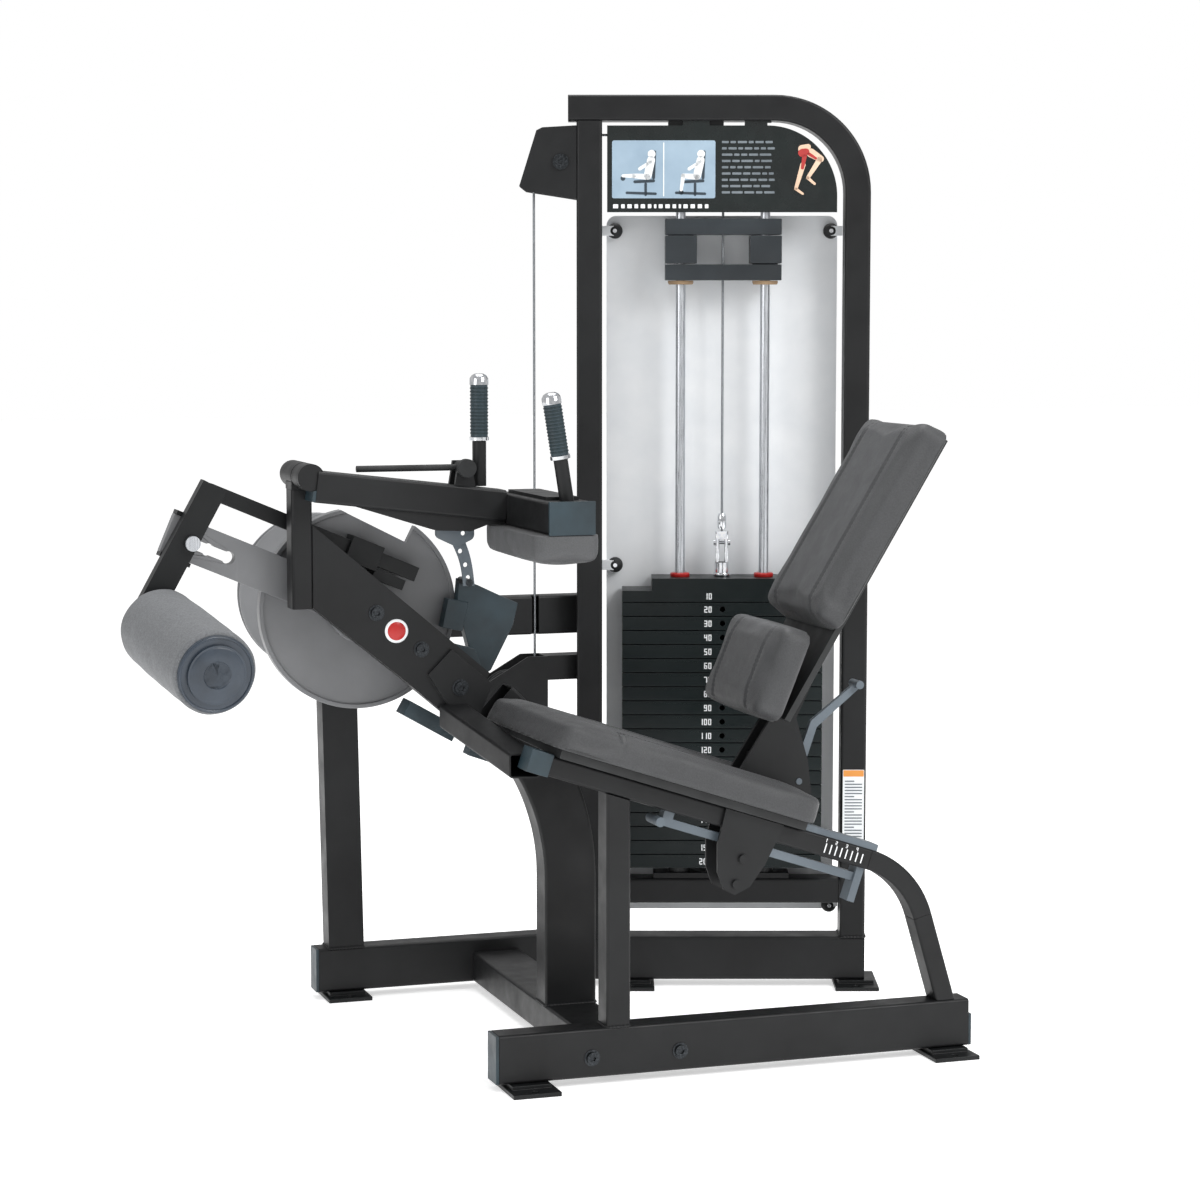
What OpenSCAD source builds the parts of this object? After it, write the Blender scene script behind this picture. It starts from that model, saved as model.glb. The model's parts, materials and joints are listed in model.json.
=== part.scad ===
// Seated leg-curl machine with a selectorised weight stack.
// x runs along the floor rails towards the user's back, y away from the entry side, z up.

/* [Frame] */
// Length of the front floor rail
rail_length = 925; // [900:5:950]
// Height of the floor rails
rail_height = 90; // [80:5:95]
// Wall of the frame tubes
wall = 3; // [2:0.5:4]
// Height of the floor rails' underside above the floor
rail_base = 15; // [12:1:20]

/* [Tower] */
// Overall height of the weight tower
tower_height = 1830; // [1800:5:1860]
// Outside width of the tower
tower_width = 596; // [590:1:600]
// Outer radius of the tower's top bend
tower_bend = 196; // [150:2:220]
// Angle that the tower is turned to the rails
tower_turn = 18.5; // [15:0.5:20]

/* [Weight stack] */
// Number of weight plates under the head plate
plate_count = 19; // [15:1:19]
// Plates under the head plate that the selector pin lifts
lifted_count = 6; // [1:1:14]
// Height taken by one plate
plate_pitch = 29; // [27:0.5:29]

/* [Moving parts] */
// Angle of the lever above horizontal at rest
lever_angle = 23; // [18:1:26]
// Radius of the large cam disc
disc_radius = 190; // [170:5:195]
// Radius of the cable cam's groove
cam_radius = 150; // [120:5:150]
// Radius of the cable pulleys' grooves
pulley_radius = 55; // [50:1:58]
// Diameter of the roller pad
roller_diameter = 150; // [130:5:155]

/* [Upholstery] */
// Thickness of the seat pad
seat_thickness = 54; // [45:1:60]
// Thickness of the back pads
back_thickness = 60; // [50:1:65]

/* [Hidden] */
$fn = 48;

// The layout is drawn from the front rail's left end; this moves it to the middle of its box.
origin_x = 204.4;
origin_y = 425;

rail_top = rail_base + rail_height;
rail_depth = 56;
rear_y = 812;
rear_depth = 52;
cross_x = 185;
cross_width = 102;
cross_top = 77;

// Knee axis
knee_x = -145;
knee_z = 838;
lever_y = 398;
lever_thick = 24;
disc_y = 436;
disc_thick = 24;
cam_y = 786;
cam_thick = 26;
leg_y = rear_y;
axle_r = 17.5;
bush_gap = 0.05;

// Thigh arm's pivot
pivot_x = -272;
pivot_z = 1097;
pin_r = 14;

// Seat rail: a line that falls towards the back
seat_slope = 18.4;
seat_x = 105;
seat_z = 607;
seat_tube_y = 4;
seat_tube_w = 50;
seat_tube_h = 38;
seat_bend = 190;
leg_lean = 16.5;
seat_run = 655;
cap_run = 38;
slot_start = 296;
slot_y0 = 92;
slot_y1 = 168;

// Tower
tube_w = 52;
tube_d = 70;
half_w = tower_width / 2;
tower_x = 677;
tower_y = 666;
stack_v = 35;
rod_u = 86;
rod_r = 10;
rod_top = 1618;
stack_half = 205;
stack_depth = 100;
stack_z = 253;
plate_gap = 1.6;
head_z = stack_z + plate_count * plate_pitch;
split = plate_count - lifted_count;
cross_z = 175;
pulley_z = 1696;
pulley_u = -330;
pulley_w = 20;
cable_r = 2.5;
low_x = 268;
low_z = 600;
run_angle = 34.5;

module place() translate([-origin_x, -origin_y, 0]) children();

module tower_frame() place() translate([tower_x, tower_y, 0]) rotate([0, 0, -tower_turn]) children();

// Solid drawn in the x-z plane and given a depth along y
module slab(y0, depth) translate([0, y0 + depth, 0]) rotate([90, 0, 0]) linear_extrude(depth) children();

// Round bar along y
module bar_y(x, z, y0, length, r) translate([x, y0 + length, z]) rotate([90, 0, 0]) cylinder(h = length, r = r);

module round_rect(w, h, r) {
    square([w - 2 * r, h], center = true);
    square([w, h - 2 * r], center = true);
    for (sx = [-1, 1], sy = [-1, 1]) translate([sx * (w / 2 - r), sy * (h / 2 - r)]) circle(r = r, $fn = 24);
}

// Section of a rectangular tube
module tube_section(w, h, r = 6) {
    difference() {
        round_rect(w, h, r);
        round_rect(w - 2 * wall, h - 2 * wall, r - wall);
    }
}

// Tubes along each direction, given by their lowest corner
module tube_x(x, y, z, length, w, h)
    translate([x, y + w / 2, z + h / 2]) rotate([90, 0, 90]) linear_extrude(length) tube_section(w, h);
module tube_y(x, y, z, length, w, h)
    translate([x + w / 2, y + length, z + h / 2]) rotate([90, 0, 0]) linear_extrude(length) tube_section(w, h);
module tube_z(x, y, z, length, w, d)
    translate([x + w / 2, y + d / 2, z]) linear_extrude(length) tube_section(w, d);

// Seat rail's own frame: s along the rail, y across, h above the rail's top face
module seat_frame_axes() translate([seat_x, 0, seat_z]) rotate([0, seat_slope, 0]) children();

// Lever's own frame: a outwards along the bar, b square to it
module lever_frame() place() translate([knee_x, 0, knee_z]) rotate([0, lever_angle, 0]) mirror([1, 0, 0]) children();

// ---------------------------------------------------------------- floor frame

module front_rail() {
    color("#26282a") place() tube_x(0, 0, rail_base, rail_length, rail_depth, rail_height);
}

module rear_rail() {
    color("#26282a") difference() {
        place() tube_x(-140, rear_y, rail_base, 572, rear_depth, rail_height);
        tower_frame() translate([-half_w, -20, 0]) cube([tower_width, tube_d + 20, 200]);
    }
}

module crossmember() {
    color("#26282a") place() tube_y(cross_x, rail_depth, rail_base, rear_y - rail_depth, cross_width,
        cross_top - rail_base);
}

foot_t = 8;
module foot(x, y, along, out, turn = 0) {
    translate([x, y, 0]) rotate([0, 0, turn]) difference() {
        union() {
            translate([0, -out, 0]) cube([along, out * 2, foot_t]);
            translate([8, -out * 0.55, foot_t]) cube([along - 16, out * 1.1, rail_base - foot_t]);
        }
        for (side = [-1, 1]) translate([along / 2, side * (out - 16), -1]) cylinder(h = 20, r = 6.5);
    }
}

module foot_plates() {
    color("#1d1f20") {
        place() {
            foot(12, rail_depth / 2, 90, 78);
            foot(835, rail_depth / 2, 90, 78);
            foot(-128, rear_y + rear_depth / 2, 90, 62);
        }
        tower_frame() {
            foot(235, tube_d / 2, 90, 78);
            foot(-half_w + 70, tube_d / 2, 90, 78);
        }
    }
}

module left_leg() {
    color("#26282a") place() difference() {
        slab(leg_y, rear_depth) difference() {
            polygon([[-119, rail_top], [-46, rail_top], [-60, knee_z - 40], [-60, knee_z + 52],
                [-133, knee_z + 52], [-133, knee_z - 40]]);
        }
        slab(leg_y + wall, rear_depth - 2 * wall) polygon([[-115, rail_top + wall], [-50, rail_top + wall],
            [-64, knee_z - 60], [-129, knee_z - 60]]);
        bar_y(knee_x + 48, knee_z + 200, 0, 1, 1);
    }
}

column_bend = 398;
column_rise = 322;
column_turn = 48;
column_y = 312;
column_depth = 62;
module column_profile() {
    translate([column_bend + cross_width / 2, 0]) tube_section(cross_width, column_depth);
}
// The column's outer envelope above its straight part
module column_solid() translate([cross_x - column_bend, column_y + column_depth / 2, column_rise])
    rotate([90, 0, 0]) rotate_extrude(angle = column_turn, $fn = 120)
        translate([column_bend + cross_width / 2, 0]) square([cross_width, column_depth], center = true);

module column() {
    color("#26282a") place() {
        tube_z(cross_x, column_y, cross_top, column_rise - cross_top, cross_width, column_depth);
        translate([cross_x - column_bend, column_y + column_depth / 2, column_rise]) rotate([90, 0, 0])
            rotate_extrude(angle = column_turn, $fn = 120) column_profile();
    }
}

module seat_upright() {
    color("#26282a") place() difference() {
        tube_z(204, 2, rail_top, 470, 46, 54);
        seat_frame_axes() translate([-100, -20, -seat_tube_h]) cube([600, 100, 200]);
    }
}

// Seat rail, its rear bend and the leg that it turns into, with a weld line at each end of the bend
leg_end_s = 335;
weld = 0.05;
module seat_frame() {
    bend = 90 - seat_slope - leg_lean;
    color("#26282a") place() difference() {
        seat_frame_axes() {
            translate([-cap_run, seat_tube_y + seat_tube_w / 2, -seat_tube_h / 2]) rotate([90, 0, 90])
                linear_extrude(seat_run + cap_run - weld) tube_section(seat_tube_w, seat_tube_h);
            translate([seat_run, seat_tube_y + seat_tube_w / 2, -seat_bend]) rotate([90, 0, 0])
                rotate([0, 0, 90 - bend]) rotate_extrude(angle = bend, $fn = 120)
                    translate([seat_bend - seat_tube_h / 2, 0]) tube_section(seat_tube_h, seat_tube_w);
            translate([seat_run, seat_tube_y + seat_tube_w / 2, -seat_bend]) rotate([0, bend, 0])
                translate([weld, 0, seat_bend - seat_tube_h / 2]) rotate([90, 0, 90])
                    linear_extrude(leg_end_s) tube_section(seat_tube_w, seat_tube_h);
        }
        translate([600, -50, -200]) cube([600, 200, 200 + rail_top]);
    }
}

beam_y = 330;
beam_depth = 45;
module main_beam() {
    color("#242627") place() {
        difference() {
            slab(beam_y, beam_depth) polygon([[-257, 1006], [82, 719], [26, 619], [-100, 725], [-257, 853]]);
            slab(beam_y + 4, beam_depth - 8) polygon([[-253, 994], [72, 719], [24, 630], [-253, 862]]);
            bar_y(knee_x, knee_z, beam_y + 4, beam_depth + 10, axle_r + 6);
            column_solid();
        }
        // Fork plate over the lower end
        difference() {
            slab(beam_y - 8, 8) polygon([[-40, 722], [6, 768], [84, 700], [60, 640], [24, 622]]);
            column_solid();
        }
    }
}

module post() {
    color("#242627") place() tube_z(-296, beam_y - 2, 851, pivot_z - 25 - 851, 39, 49);
}

pivot_y = 272;
pivot_length = 150;
module pivot_tube() {
    color("#202223") place() difference() {
        union() {
            bar_y(pivot_x, pivot_z, beam_y, 92, 25);
            translate([-296, beam_y - 2, pivot_z - 25]) cube([39, 49, 14]);
        }
        bar_y(pivot_x, pivot_z, beam_y - 10, 112, pin_r);
    }
}

// Tube from the beam's foot to the seat rail, and the tube from the tower to the left leg
module tie_tubes() {
    color("#26282a") {
        place() difference() {
            translate([66, 54, 583]) rotate([0, 0, atan2(58, 276)]) rotate([atan2(60, 282), 0, 0])
                translate([0, -30, 0]) rotate([-90, 0, 0]) linear_extrude(360) tube_section(56, 44);
            translate([-300, beam_y - 8, 400]) cube([800, 300, 400]);
            translate([-300, -200, 400]) cube([900, 200 + seat_tube_y + seat_tube_w + 2, 400]);
        }
        place() difference() {
            tube_x(-58, 816, 732, 520, 44, 80);
            tower_hole_left();
            translate([hang_x, hang_y, 700]) cylinder(h = 200, r = 9);
        }
    }
}
module tower_hole_left() {
    translate([tower_x, tower_y, 0]) rotate([0, 0, -tower_turn]) translate([-half_w, -200, 0]) cube([900, 600, 2000]);
}

cap_t = 6;
module tube_caps() {
    color("#2c3c40") {
        place() {
            translate([-cap_t, 1, rail_base + 1]) cube([cap_t, rail_depth - 2, rail_height - 2]);
            translate([rail_length, 1, rail_base + 1]) cube([cap_t, rail_depth - 2, 60]);
            translate([-140 - cap_t, rear_y + 1, rail_base + 1]) cube([cap_t, rear_depth - 2, rail_height - 2]);
            seat_frame_axes() difference() {
                translate([-cap_run - 5, seat_tube_y - 2, -seat_tube_h - 2])
                    cube([cap_run + 5, seat_tube_w + 4, seat_tube_h + 4]);
                translate([-cap_run, seat_tube_y, -seat_tube_h]) cube([100, seat_tube_w, seat_tube_h]);
            }
            translate([-75, 376, 640]) rotate([0, 30, 0]) cube([110, 56, 30]);
            difference() {
                translate([36, column_y + 8, 566]) rotate([0, 20, 0]) cube([70, 40, 34]);
                column_solid();
            }
        }
    }
}

module bolt(r = 11, head = 7) {
    difference() {
        union() {
            cylinder(h = 1.6, r = r + 4);
            cylinder(h = head, r = r);
        }
        translate([0, 0, head - 4]) cylinder(h = 5, r = r * 0.5, $fn = 6);
    }
}

module frame_bolts() {
    color("#303335") {
        place() {
            for (x = [175, 345]) translate([x, 0, 52]) rotate([90, 0, 0]) bolt();
            for (p = [[-137, 840], [-51, 769]]) translate([p[0], beam_y, p[1]]) rotate([90, 0, 0]) bolt();
            translate([22, beam_y - 8, 695]) rotate([90, 0, 0]) bolt(12);
        }
        tower_frame() translate([pulley_u, -1, pulley_z]) rotate([90, 0, 0]) bolt(12);
    }
}

// ---------------------------------------------------------------- tower

top_z = tower_height - tube_w;
module tower_hoop() {
    color("#26282a") tower_frame() {
        tube_x(-half_w - 17, 0, top_z, tower_width - tower_bend + 17, tube_d, tube_w);
        translate([half_w - tower_bend, tube_d / 2, tower_height - tower_bend]) rotate([90, 0, 0])
            rotate_extrude(angle = 90, $fn = 120) translate([tower_bend - tube_w / 2, 0])
                tube_section(tube_w, tube_d);
        tube_z(half_w - tube_w, 0, rail_top, tower_height - tower_bend - rail_top, tube_w, tube_d);
    }
}

module rod_holes(z, length) {
    for (side = [-1, 1]) translate([side * rod_u, stack_v, z]) cylinder(h = length, r = rod_r);
}

module tower_left_upright() {
    color("#26282a") tower_frame() difference() {
        tube_z(-half_w, 0, rail_top, top_z - rail_top, tube_w, tube_d);
        translate([-half_w - 5, stack_v - 9, pulley_z + pulley_radius - 12]) cube([tube_w + 10, 18, 24]);
        translate([-half_w - 5, stack_v - 12, pulley_z - 66]) cube([40, 24, 132]);
    }
}

module tower_base() {
    color("#26282a") tower_frame() tube_x(-half_w, 0, rail_base, tower_width, tube_d, rail_height);
}

module stack_crossbar() {
    color("#26282a") tower_frame() difference() {
        union() {
            tube_x(-half_w + tube_w, 5, cross_z, tower_width - 2 * tube_w, tube_d - 10, 51);
            translate([-140, 10, cross_z + 51]) cube([280, tube_d - 20, 12]);
        }
        rod_holes(cross_z + 40, 60);
    }
    // Plate that holds the rods' upper ends
    color("#26282a") tower_frame() difference() {
        translate([-112, 18, rod_top - 10]) cube([224, 34, 10]);
        rod_holes(rod_top - 20, 60);
        translate([0, stack_v, rod_top - 20]) cylinder(h = 40, r = 7);
    }
}

placard_low = 1595;
placard_right = 230;
module placard() {
    color("#0c1818") tower_frame() slab(10, 5) {
        corner = 142;
        difference() {
            union() {
                translate([-236, placard_low]) square([placard_right + 236, 174]);
                for (x = [-83, 42]) translate([x, placard_low + 170]) square([54, top_z - placard_low - 170]);
            }
            difference() {
                translate([placard_right - corner, placard_low + 174 - corner]) square([corner + 5, corner + 5]);
                translate([placard_right - corner, placard_low + 174 - corner]) circle(r = corner, $fn = 96);
            }
        }
    }
}

shroud_v = 92;
module shroud() {
    color("#e4e7ea") tower_frame() {
        slab(shroud_v, 4) translate([0, (1590 + 146) / 2]) round_rect(474, 1444, 20);
        for (side = [-1, 1], z = [165, 872, 1559]) translate([side * 246 - (side > 0 ? 24 : 0), tube_d, z - 10])
            cube([24, shroud_v - tube_d, 20]);
    }
}

module guide_rods() {
    color("#c9ccd0") tower_frame() rod_holes(cross_z + 40, rod_top - cross_z - 40);
}

module stack_bumpers() {
    color("#151617") tower_frame() for (side = [-1, 1]) difference() {
        translate([side * rod_u, stack_v, cross_z + 63]) cylinder(h = stack_z - cross_z - 63, r = 22);
        translate([side * rod_u, stack_v, cross_z]) cylinder(h = 200, r = rod_r + 0.02);
    }
}

cheek_t = 5;
module pulley_housings() {
    color("#27292b") {
        tower_frame() for (y = [3, tube_d - 3 - cheek_t]) slab(y, cheek_t) difference() {
            polygon([[-414, 1647], [-379, 1759], [-367, 1765], [-half_w, 1769], [-half_w, 1621], [-401, 1637]]);
            translate([pulley_u, pulley_z]) circle(r = 8.05);
        }
        tower_frame() translate([-366, 3, 1759]) cube([68, tube_d - 6, 6]);
        tower_frame() for (y = [18, 52 - cheek_t]) slab(y, cheek_t) difference() {
            translate([-112, rod_top]) square([112, top_z - rod_top]);
            translate([-pulley_radius, pulley_z]) circle(r = 8.05);
        }
        tower_frame() bar_y(pulley_u, pulley_z, 1, tube_d - 2, 8);
        tower_frame() bar_y(-pulley_radius, pulley_z, 17, 36, 8);
        place() {
            for (y = [785, 840]) slab(y, cheek_t) difference() {
                polygon([[low_x - 70, 532], [low_x + 72, 532], [low_x + 72, 690], [low_x + 30, 690],
                    [low_x - 70, 632]]);
                translate([low_x, low_z]) circle(r = 8.05);
            }
            bar_y(low_x, low_z, 784, 62, 8);
        }
        difference() {
            place() translate([low_x + 67, 790, 640]) cube([103, 50, 50]);
            place() tower_hole_left();
        }
    }
}

// ---------------------------------------------------------------- knee shaft, cam and lever

module knee_axle() {
    color("#8d9094") place() {
        bar_y(knee_x, knee_z, beam_y + 4, leg_y - beam_y - 4, axle_r);
        difference() {
            translate([knee_x - 38, leg_y - 6, knee_z - 38]) cube([86, 6, 76]);
            bar_y(knee_x, knee_z, leg_y - 20, 30, axle_r);
        }
    }
}

guard_y = 404;
guard_depth = 26;
module cam_guard() {
    color("#16282b") place() {
        slab(guard_y, guard_depth) polygon([[44, 892], [80, 879], [124, 858], [160, 842], [150, 800], [106, 715],
            [80, 700], [62, 760], [52, 800], [40, 850]]);
        translate([10, guard_y - 2, 800]) rotate([0, 12, 0]) cube([40, guard_depth + 4, 56]);
        slab(beam_y + beam_depth, guard_y - beam_y - beam_depth) polygon([[66, 760], [84, 712], [60, 690], [30, 770]]);
    }
}

sleeve_gap = 0.05;
pin_a = 357;
pin_b = -2;
slide_travel = 80;
module lever_bore(y0, length) bar_y(0, 0, y0, length, axle_r + sleeve_gap);

module cam_disc() {
    color("#8f9092") lever_frame() difference() {
        union() {
            bar_y(0, 0, disc_y, disc_thick, disc_radius);
        }
        bar_y(0, 0, disc_y - 1, 6, disc_radius - 8);
        bar_y(0, 0, disc_y - 5, disc_thick + 10, 34);
        translate([-40, disc_y - 5, 150]) rotate([0, -4, 0]) cube([300, disc_thick + 10, 60]);
    }
}

module cable_cam() {
    color("#55585b") lever_frame() difference() {
        union() {
            bar_y(0, 0, cam_y - 13, 4, cam_radius + 8);
            bar_y(0, 0, cam_y - 9, 18, cam_radius - cable_r);
            bar_y(0, 0, cam_y + 9, 4, cam_radius + 8);
        }
        bar_y(0, 0, cam_y - 20, 40, 34);
        for (k = [0:5]) rotate([0, 60 * k + 30, 0]) bar_y(92, 0, cam_y - 20, 40, 26);
    }
}

module lever_bar() {
    color("#8a8c8e") lever_frame() difference() {
        slab(lever_y, lever_thick) {
            translate([0, -37]) square([400, 74]);
            circle(r = 62);
        }
        bar_y(0, 0, lever_y - 5, lever_thick + 10, 34);
        for (a = [pin_a - slide_travel, pin_a - slide_travel / 2, pin_a])
            bar_y(a, pin_b, lever_y - 5, lever_thick + 10, 12);
        translate([pin_a - slide_travel, lever_y - 5, pin_b - 9.2]) cube([slide_travel, lever_thick + 10, 18.4]);
    }
}

module lever_hub() {
    color("#3a3d40") lever_frame() difference() {
        bar_y(0, 0, lever_y - 6, cam_y + 16 - lever_y + 6, 34);
        lever_bore(lever_y - 20, 480);
    }
}

// Guide block on the disc's front that the parallel link slides in
link_b = 100;
guide_y = 384;
module link_guide() {
    color("#141617") lever_frame() {
        difference() {
            translate([10, guide_y, link_b - 24]) cube([64, disc_y - guide_y, 48]);
            translate([0, guide_y + 10.6, link_b - 14.4]) cube([90, 30.8, 28.8]);
        }
        translate([-52, guide_y + 2, 62]) cube([64, disc_y - guide_y - 2, 20]);
    }
}

// ---------------------------------------------------------------- roller carriage

carriage_a = 368;
carriage_y = lever_y - 34;
module roller_carriage() {
    color("#16191b") {
        lever_frame() {
            difference() {
                translate([carriage_a, 0, 0]) rotate([0, -6, 0]) translate([-24, carriage_y, -150])
                    cube([48, 31, 262]);
                bar_y(pin_a, pin_b, carriage_y - 5, 60, 9.05);
            }
            // Clamp that rides on the lever bar
            for (b = [-37.4 - 8, 37.4]) translate([carriage_a - 30, lever_y - 5, b]) cube([60, lever_thick + 13, 8]);
            translate([carriage_a - 29, lever_y + lever_thick + 0.4, -41]) cube([58, 7, 82]);
        }
        roller_axes() translate([0, 0, -14]) cylinder(h = 24, r = 26);
        roller_axes() cylinder(h = 342, r = 12);
    }
}

// Roller axle: from the carriage towards the entry side, slightly down and outwards
roller_x = -541;
roller_z = 827;
roller_y = 384;
roller_tilt = 8.4;
roller_yaw = 7;
roller_length = 340;
module roller_axes() place() translate([roller_x, roller_y, roller_z]) rotate([0, 0, roller_yaw])
    rotate([90 + roller_tilt, 0, 0]) translate([0, 0, 14]) children();

module parallel_link() {
    color("#16191b") lever_frame() difference() {
        translate([-70, guide_y + 11, link_b - 14]) cube([carriage_a + 60, 30, 28]);
        translate([-75, guide_y + 14, link_b - 11]) cube([carriage_a + 40, 24, 22]);
    }
}

module adjust_pin() {
    color("#c8c9cb") lever_frame() {
        bar_y(pin_a, pin_b, carriage_y - 1, lever_y - carriage_y + 18, 9);
        bar_y(pin_a, pin_b, carriage_y - 14, 13, 14);
    }
}

module roller_foam() {
    color("#808285") roller_axes() difference() {
        translate([0, 0, 12]) cylinder(h = roller_length - 12, r = roller_diameter / 2);
        translate([0, 0, 10]) cylinder(h = roller_length, r = 32);
    }
}

module roller_core() {
    color("#3b434d") roller_axes() difference() {
        union() {
            translate([0, 0, 11.5]) cylinder(h = roller_length - 11.5, r = 31.7);
            translate([0, 0, roller_length]) cylinder(h = 5, r = roller_diameter / 2 - 6);
            translate([0, 0, roller_length + 5]) cylinder(h = 6, r = roller_diameter / 2 - 22);
        }
        translate([0, 0, 0]) cylinder(h = 342.4, r = 12 + bush_gap);
    }
}

// ---------------------------------------------------------------- thigh arm

latch_x = 18;
latch_z = 1110;
latch_r = 6;
arm_slope = 6.7;
arm_y = 266;
arm_depth = 62;
module thigh_arm() {
    color("#242627") place() difference() {
        union() {
            translate([-243, arm_y + arm_depth / 2, 1078]) rotate([0, arm_slope, 0]) rotate([90, 0, 90])
                translate([0, 0, -19]) linear_extrude(362) tube_section(arm_depth, 58);
            slab(arm_y + 8, 46) polygon([[-200, 1046], [96, 1012], [96, 1004], [64, 1004], [30, 992], [-37, 995]]);
            bar_y(pivot_x, pivot_z, arm_y + 4, arm_depth - 6, 25);
            bar_y(pivot_x, pivot_z, arm_y + 4, 155, pin_r - bush_gap);
            for (y = [arm_y + 4, arm_y + 44]) slab(y, 9)
                polygon([[latch_x - 22, 1060], [latch_x + 24, 1054], [latch_x + 12, latch_z + 12],
                    [latch_x - 12, latch_z + 12]]);
        }
        bar_y(latch_x, latch_z, arm_y - 5, 80, latch_r + bush_gap);
        translate([beam_x, 0, 900]) cube([100, 600, 300]);
    }
}

beam_x = 97;
module thigh_beam() {
    color("#242627") place() {
        tube_y(beam_x, 6, 1003, 322, 84, 58);
        // Uprights of the two handles
        translate([54, 300, 1074.4]) cylinder(h = 91.6, r = 13);
        translate([143, 46, 1060]) rotate([0, -9, 0]) cylinder(h = 84, r = 13);
        translate([110, 60, 1061]) cube([60, 240, 6]);
    }
}

module thigh_pad() {
    color("#6b6d70") place() translate([132, 0, 973]) slab(2, 326) round_rect(122, 57, 16);
}

module handle_grips() {
    color("#1e3034") place() {
        translate([54, 300, 1166]) cylinder(h = 96, r = 16);
        translate([143, 46, 1060]) rotate([0, -9, 0]) translate([0, 0, 84]) cylinder(h = 92, r = 16);
        translate([beam_x - 1, 0, 1002]) cube([86, 6, 60]);
        difference() {
            translate([-243, arm_y + 1, 1078]) rotate([0, arm_slope, 0]) translate([-25, 0, -28])
                cube([6, arm_depth - 2, 56]);
            bar_y(pivot_x, pivot_z, arm_y - 5, 80, 25);
        }
    }
}

module arm_latch() {
    color("#23292c") place() {
        bar_y(latch_x, latch_z, arm_y - 12, 70, latch_r);
        bar_y(latch_x, latch_z, arm_y + 15, 27, 12);
        bar_y(latch_x, latch_z, arm_y - 14, 16, 17);
        translate([latch_x, arm_y + 28, latch_z]) rotate([0, -90, 0]) cylinder(h = 200, r = 6);
    }
}

// ---------------------------------------------------------------- seat

module pad_outline() {
    difference() {
        polygon([[0, -30], [508, -30], [520, -18], [520, 298], [508, 310], [-46, 310], [-56, 300], [-56, 190],
            [-6, -24]]);
        translate([slot_start, slot_y0]) square([300, slot_y1 - slot_y0]);
    }
}

module seat_pad() {
    color("#4b4d50") place() seat_frame_axes() translate([0, 0, 16.3]) linear_extrude(seat_thickness) pad_outline();
}

module seat_board() {
    color("#1b1d1e") place() seat_frame_axes() difference() {
        translate([4, -16, 0]) cube([500, 312, 16]);
        translate([slot_start - 6, slot_y0 - 2, -5]) cube([300, slot_y1 - slot_y0 + 4, 40]);
    }
}

slide_h = 12;
module slide_rail() {
    color("#6f767e") place() seat_frame_axes() {
        translate([508, seat_tube_y + 4, 0]) cube([seat_run - 508 + 10, seat_tube_w - 8, slide_h]);
        translate([240, seat_tube_y + 14, -66]) cube([410, 22, 16]);
        translate([638, seat_tube_y + 8, -104]) cube([15, 34, 104 - seat_tube_h]);
        translate([240, seat_tube_y + 14, -66]) cube([20, 22, 66 - seat_tube_h]);
        translate([232, seat_tube_y - 4, -60]) rotate([-90, 0, 0]) cylinder(h = 58, r = 9);
    }
}

back_latch_x = 618;
back_latch_z = 520;
shield = [[345, -2], [465, -2], [452, -80], [436, -128], [412, -150], [388, -146], [366, -118], [350, -70]];
module back_carriage() {
    color("#222425") place() {
        seat_frame_axes() {
            for (y = [seat_tube_y - 8, seat_tube_y + seat_tube_w + 2]) slab(y, 6) polygon(shield);
            bar_y(405, -82, seat_tube_y - 14, 78, 8);
            bar_y(407, -130, seat_tube_y - 14, 78, 8);
            translate([384, seat_tube_y + seat_tube_w + 8, -44]) cube([60, 90, 40]);
        }
        for (y = [104, 148]) slab(y, 7) difference() {
            polygon([[440, 470], [500, 455], [644, 495], [636, 560], [612, 640], [760, 940], [733, 925],
                [566, 650], [500, 548]]);
            translate([back_latch_x, back_latch_z]) circle(r = latch_r + bush_gap);
        }
        translate([530, 111, 560]) cube([40, 37, 16]);
    }
}

back_dir = 58.6;
module back_axes() translate([560, 0, 640]) rotate([0, -back_dir, 0]) children();
module back_board() {
    color("#1b1d1e") place() back_axes() translate([0, 0, 2]) {
        translate([6, 12, 0]) cube([600, 236, 12]);
    }
}

module back_pad() {
    color("#4b4d50") place() back_axes() translate([193, 0, 14.3]) linear_extrude(back_thickness)
        translate([212, 130]) round_rect(424, 290, 26);
}

module lumbar_pad() {
    color("#4b4d50") place() translate([539, 0, 646]) rotate([0, -67.7, 0]) translate([-2, 0, 8])
        linear_extrude(back_thickness) translate([88, 130]) round_rect(176, 290, 24);
}

module latch_lever() {
    color("#656b72") place() {
        bar_y(back_latch_x, back_latch_z, 102, 55, latch_r);
        bar_y(back_latch_x, back_latch_z, 114, 31, 12);
        slab(124, 10) polygon([[back_latch_x - 7, back_latch_z + 6], [back_latch_x + 8, back_latch_z - 6],
            [662, 618], [748, 688], [742, 700], [650, 630]]);
        bar_y(744, 696, 110, 38, 8);
    }
}

// ---------------------------------------------------------------- cables

module tower_pos() translate([tower_x, tower_y, 0]) rotate([0, 0, -tower_turn]) children();

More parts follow.
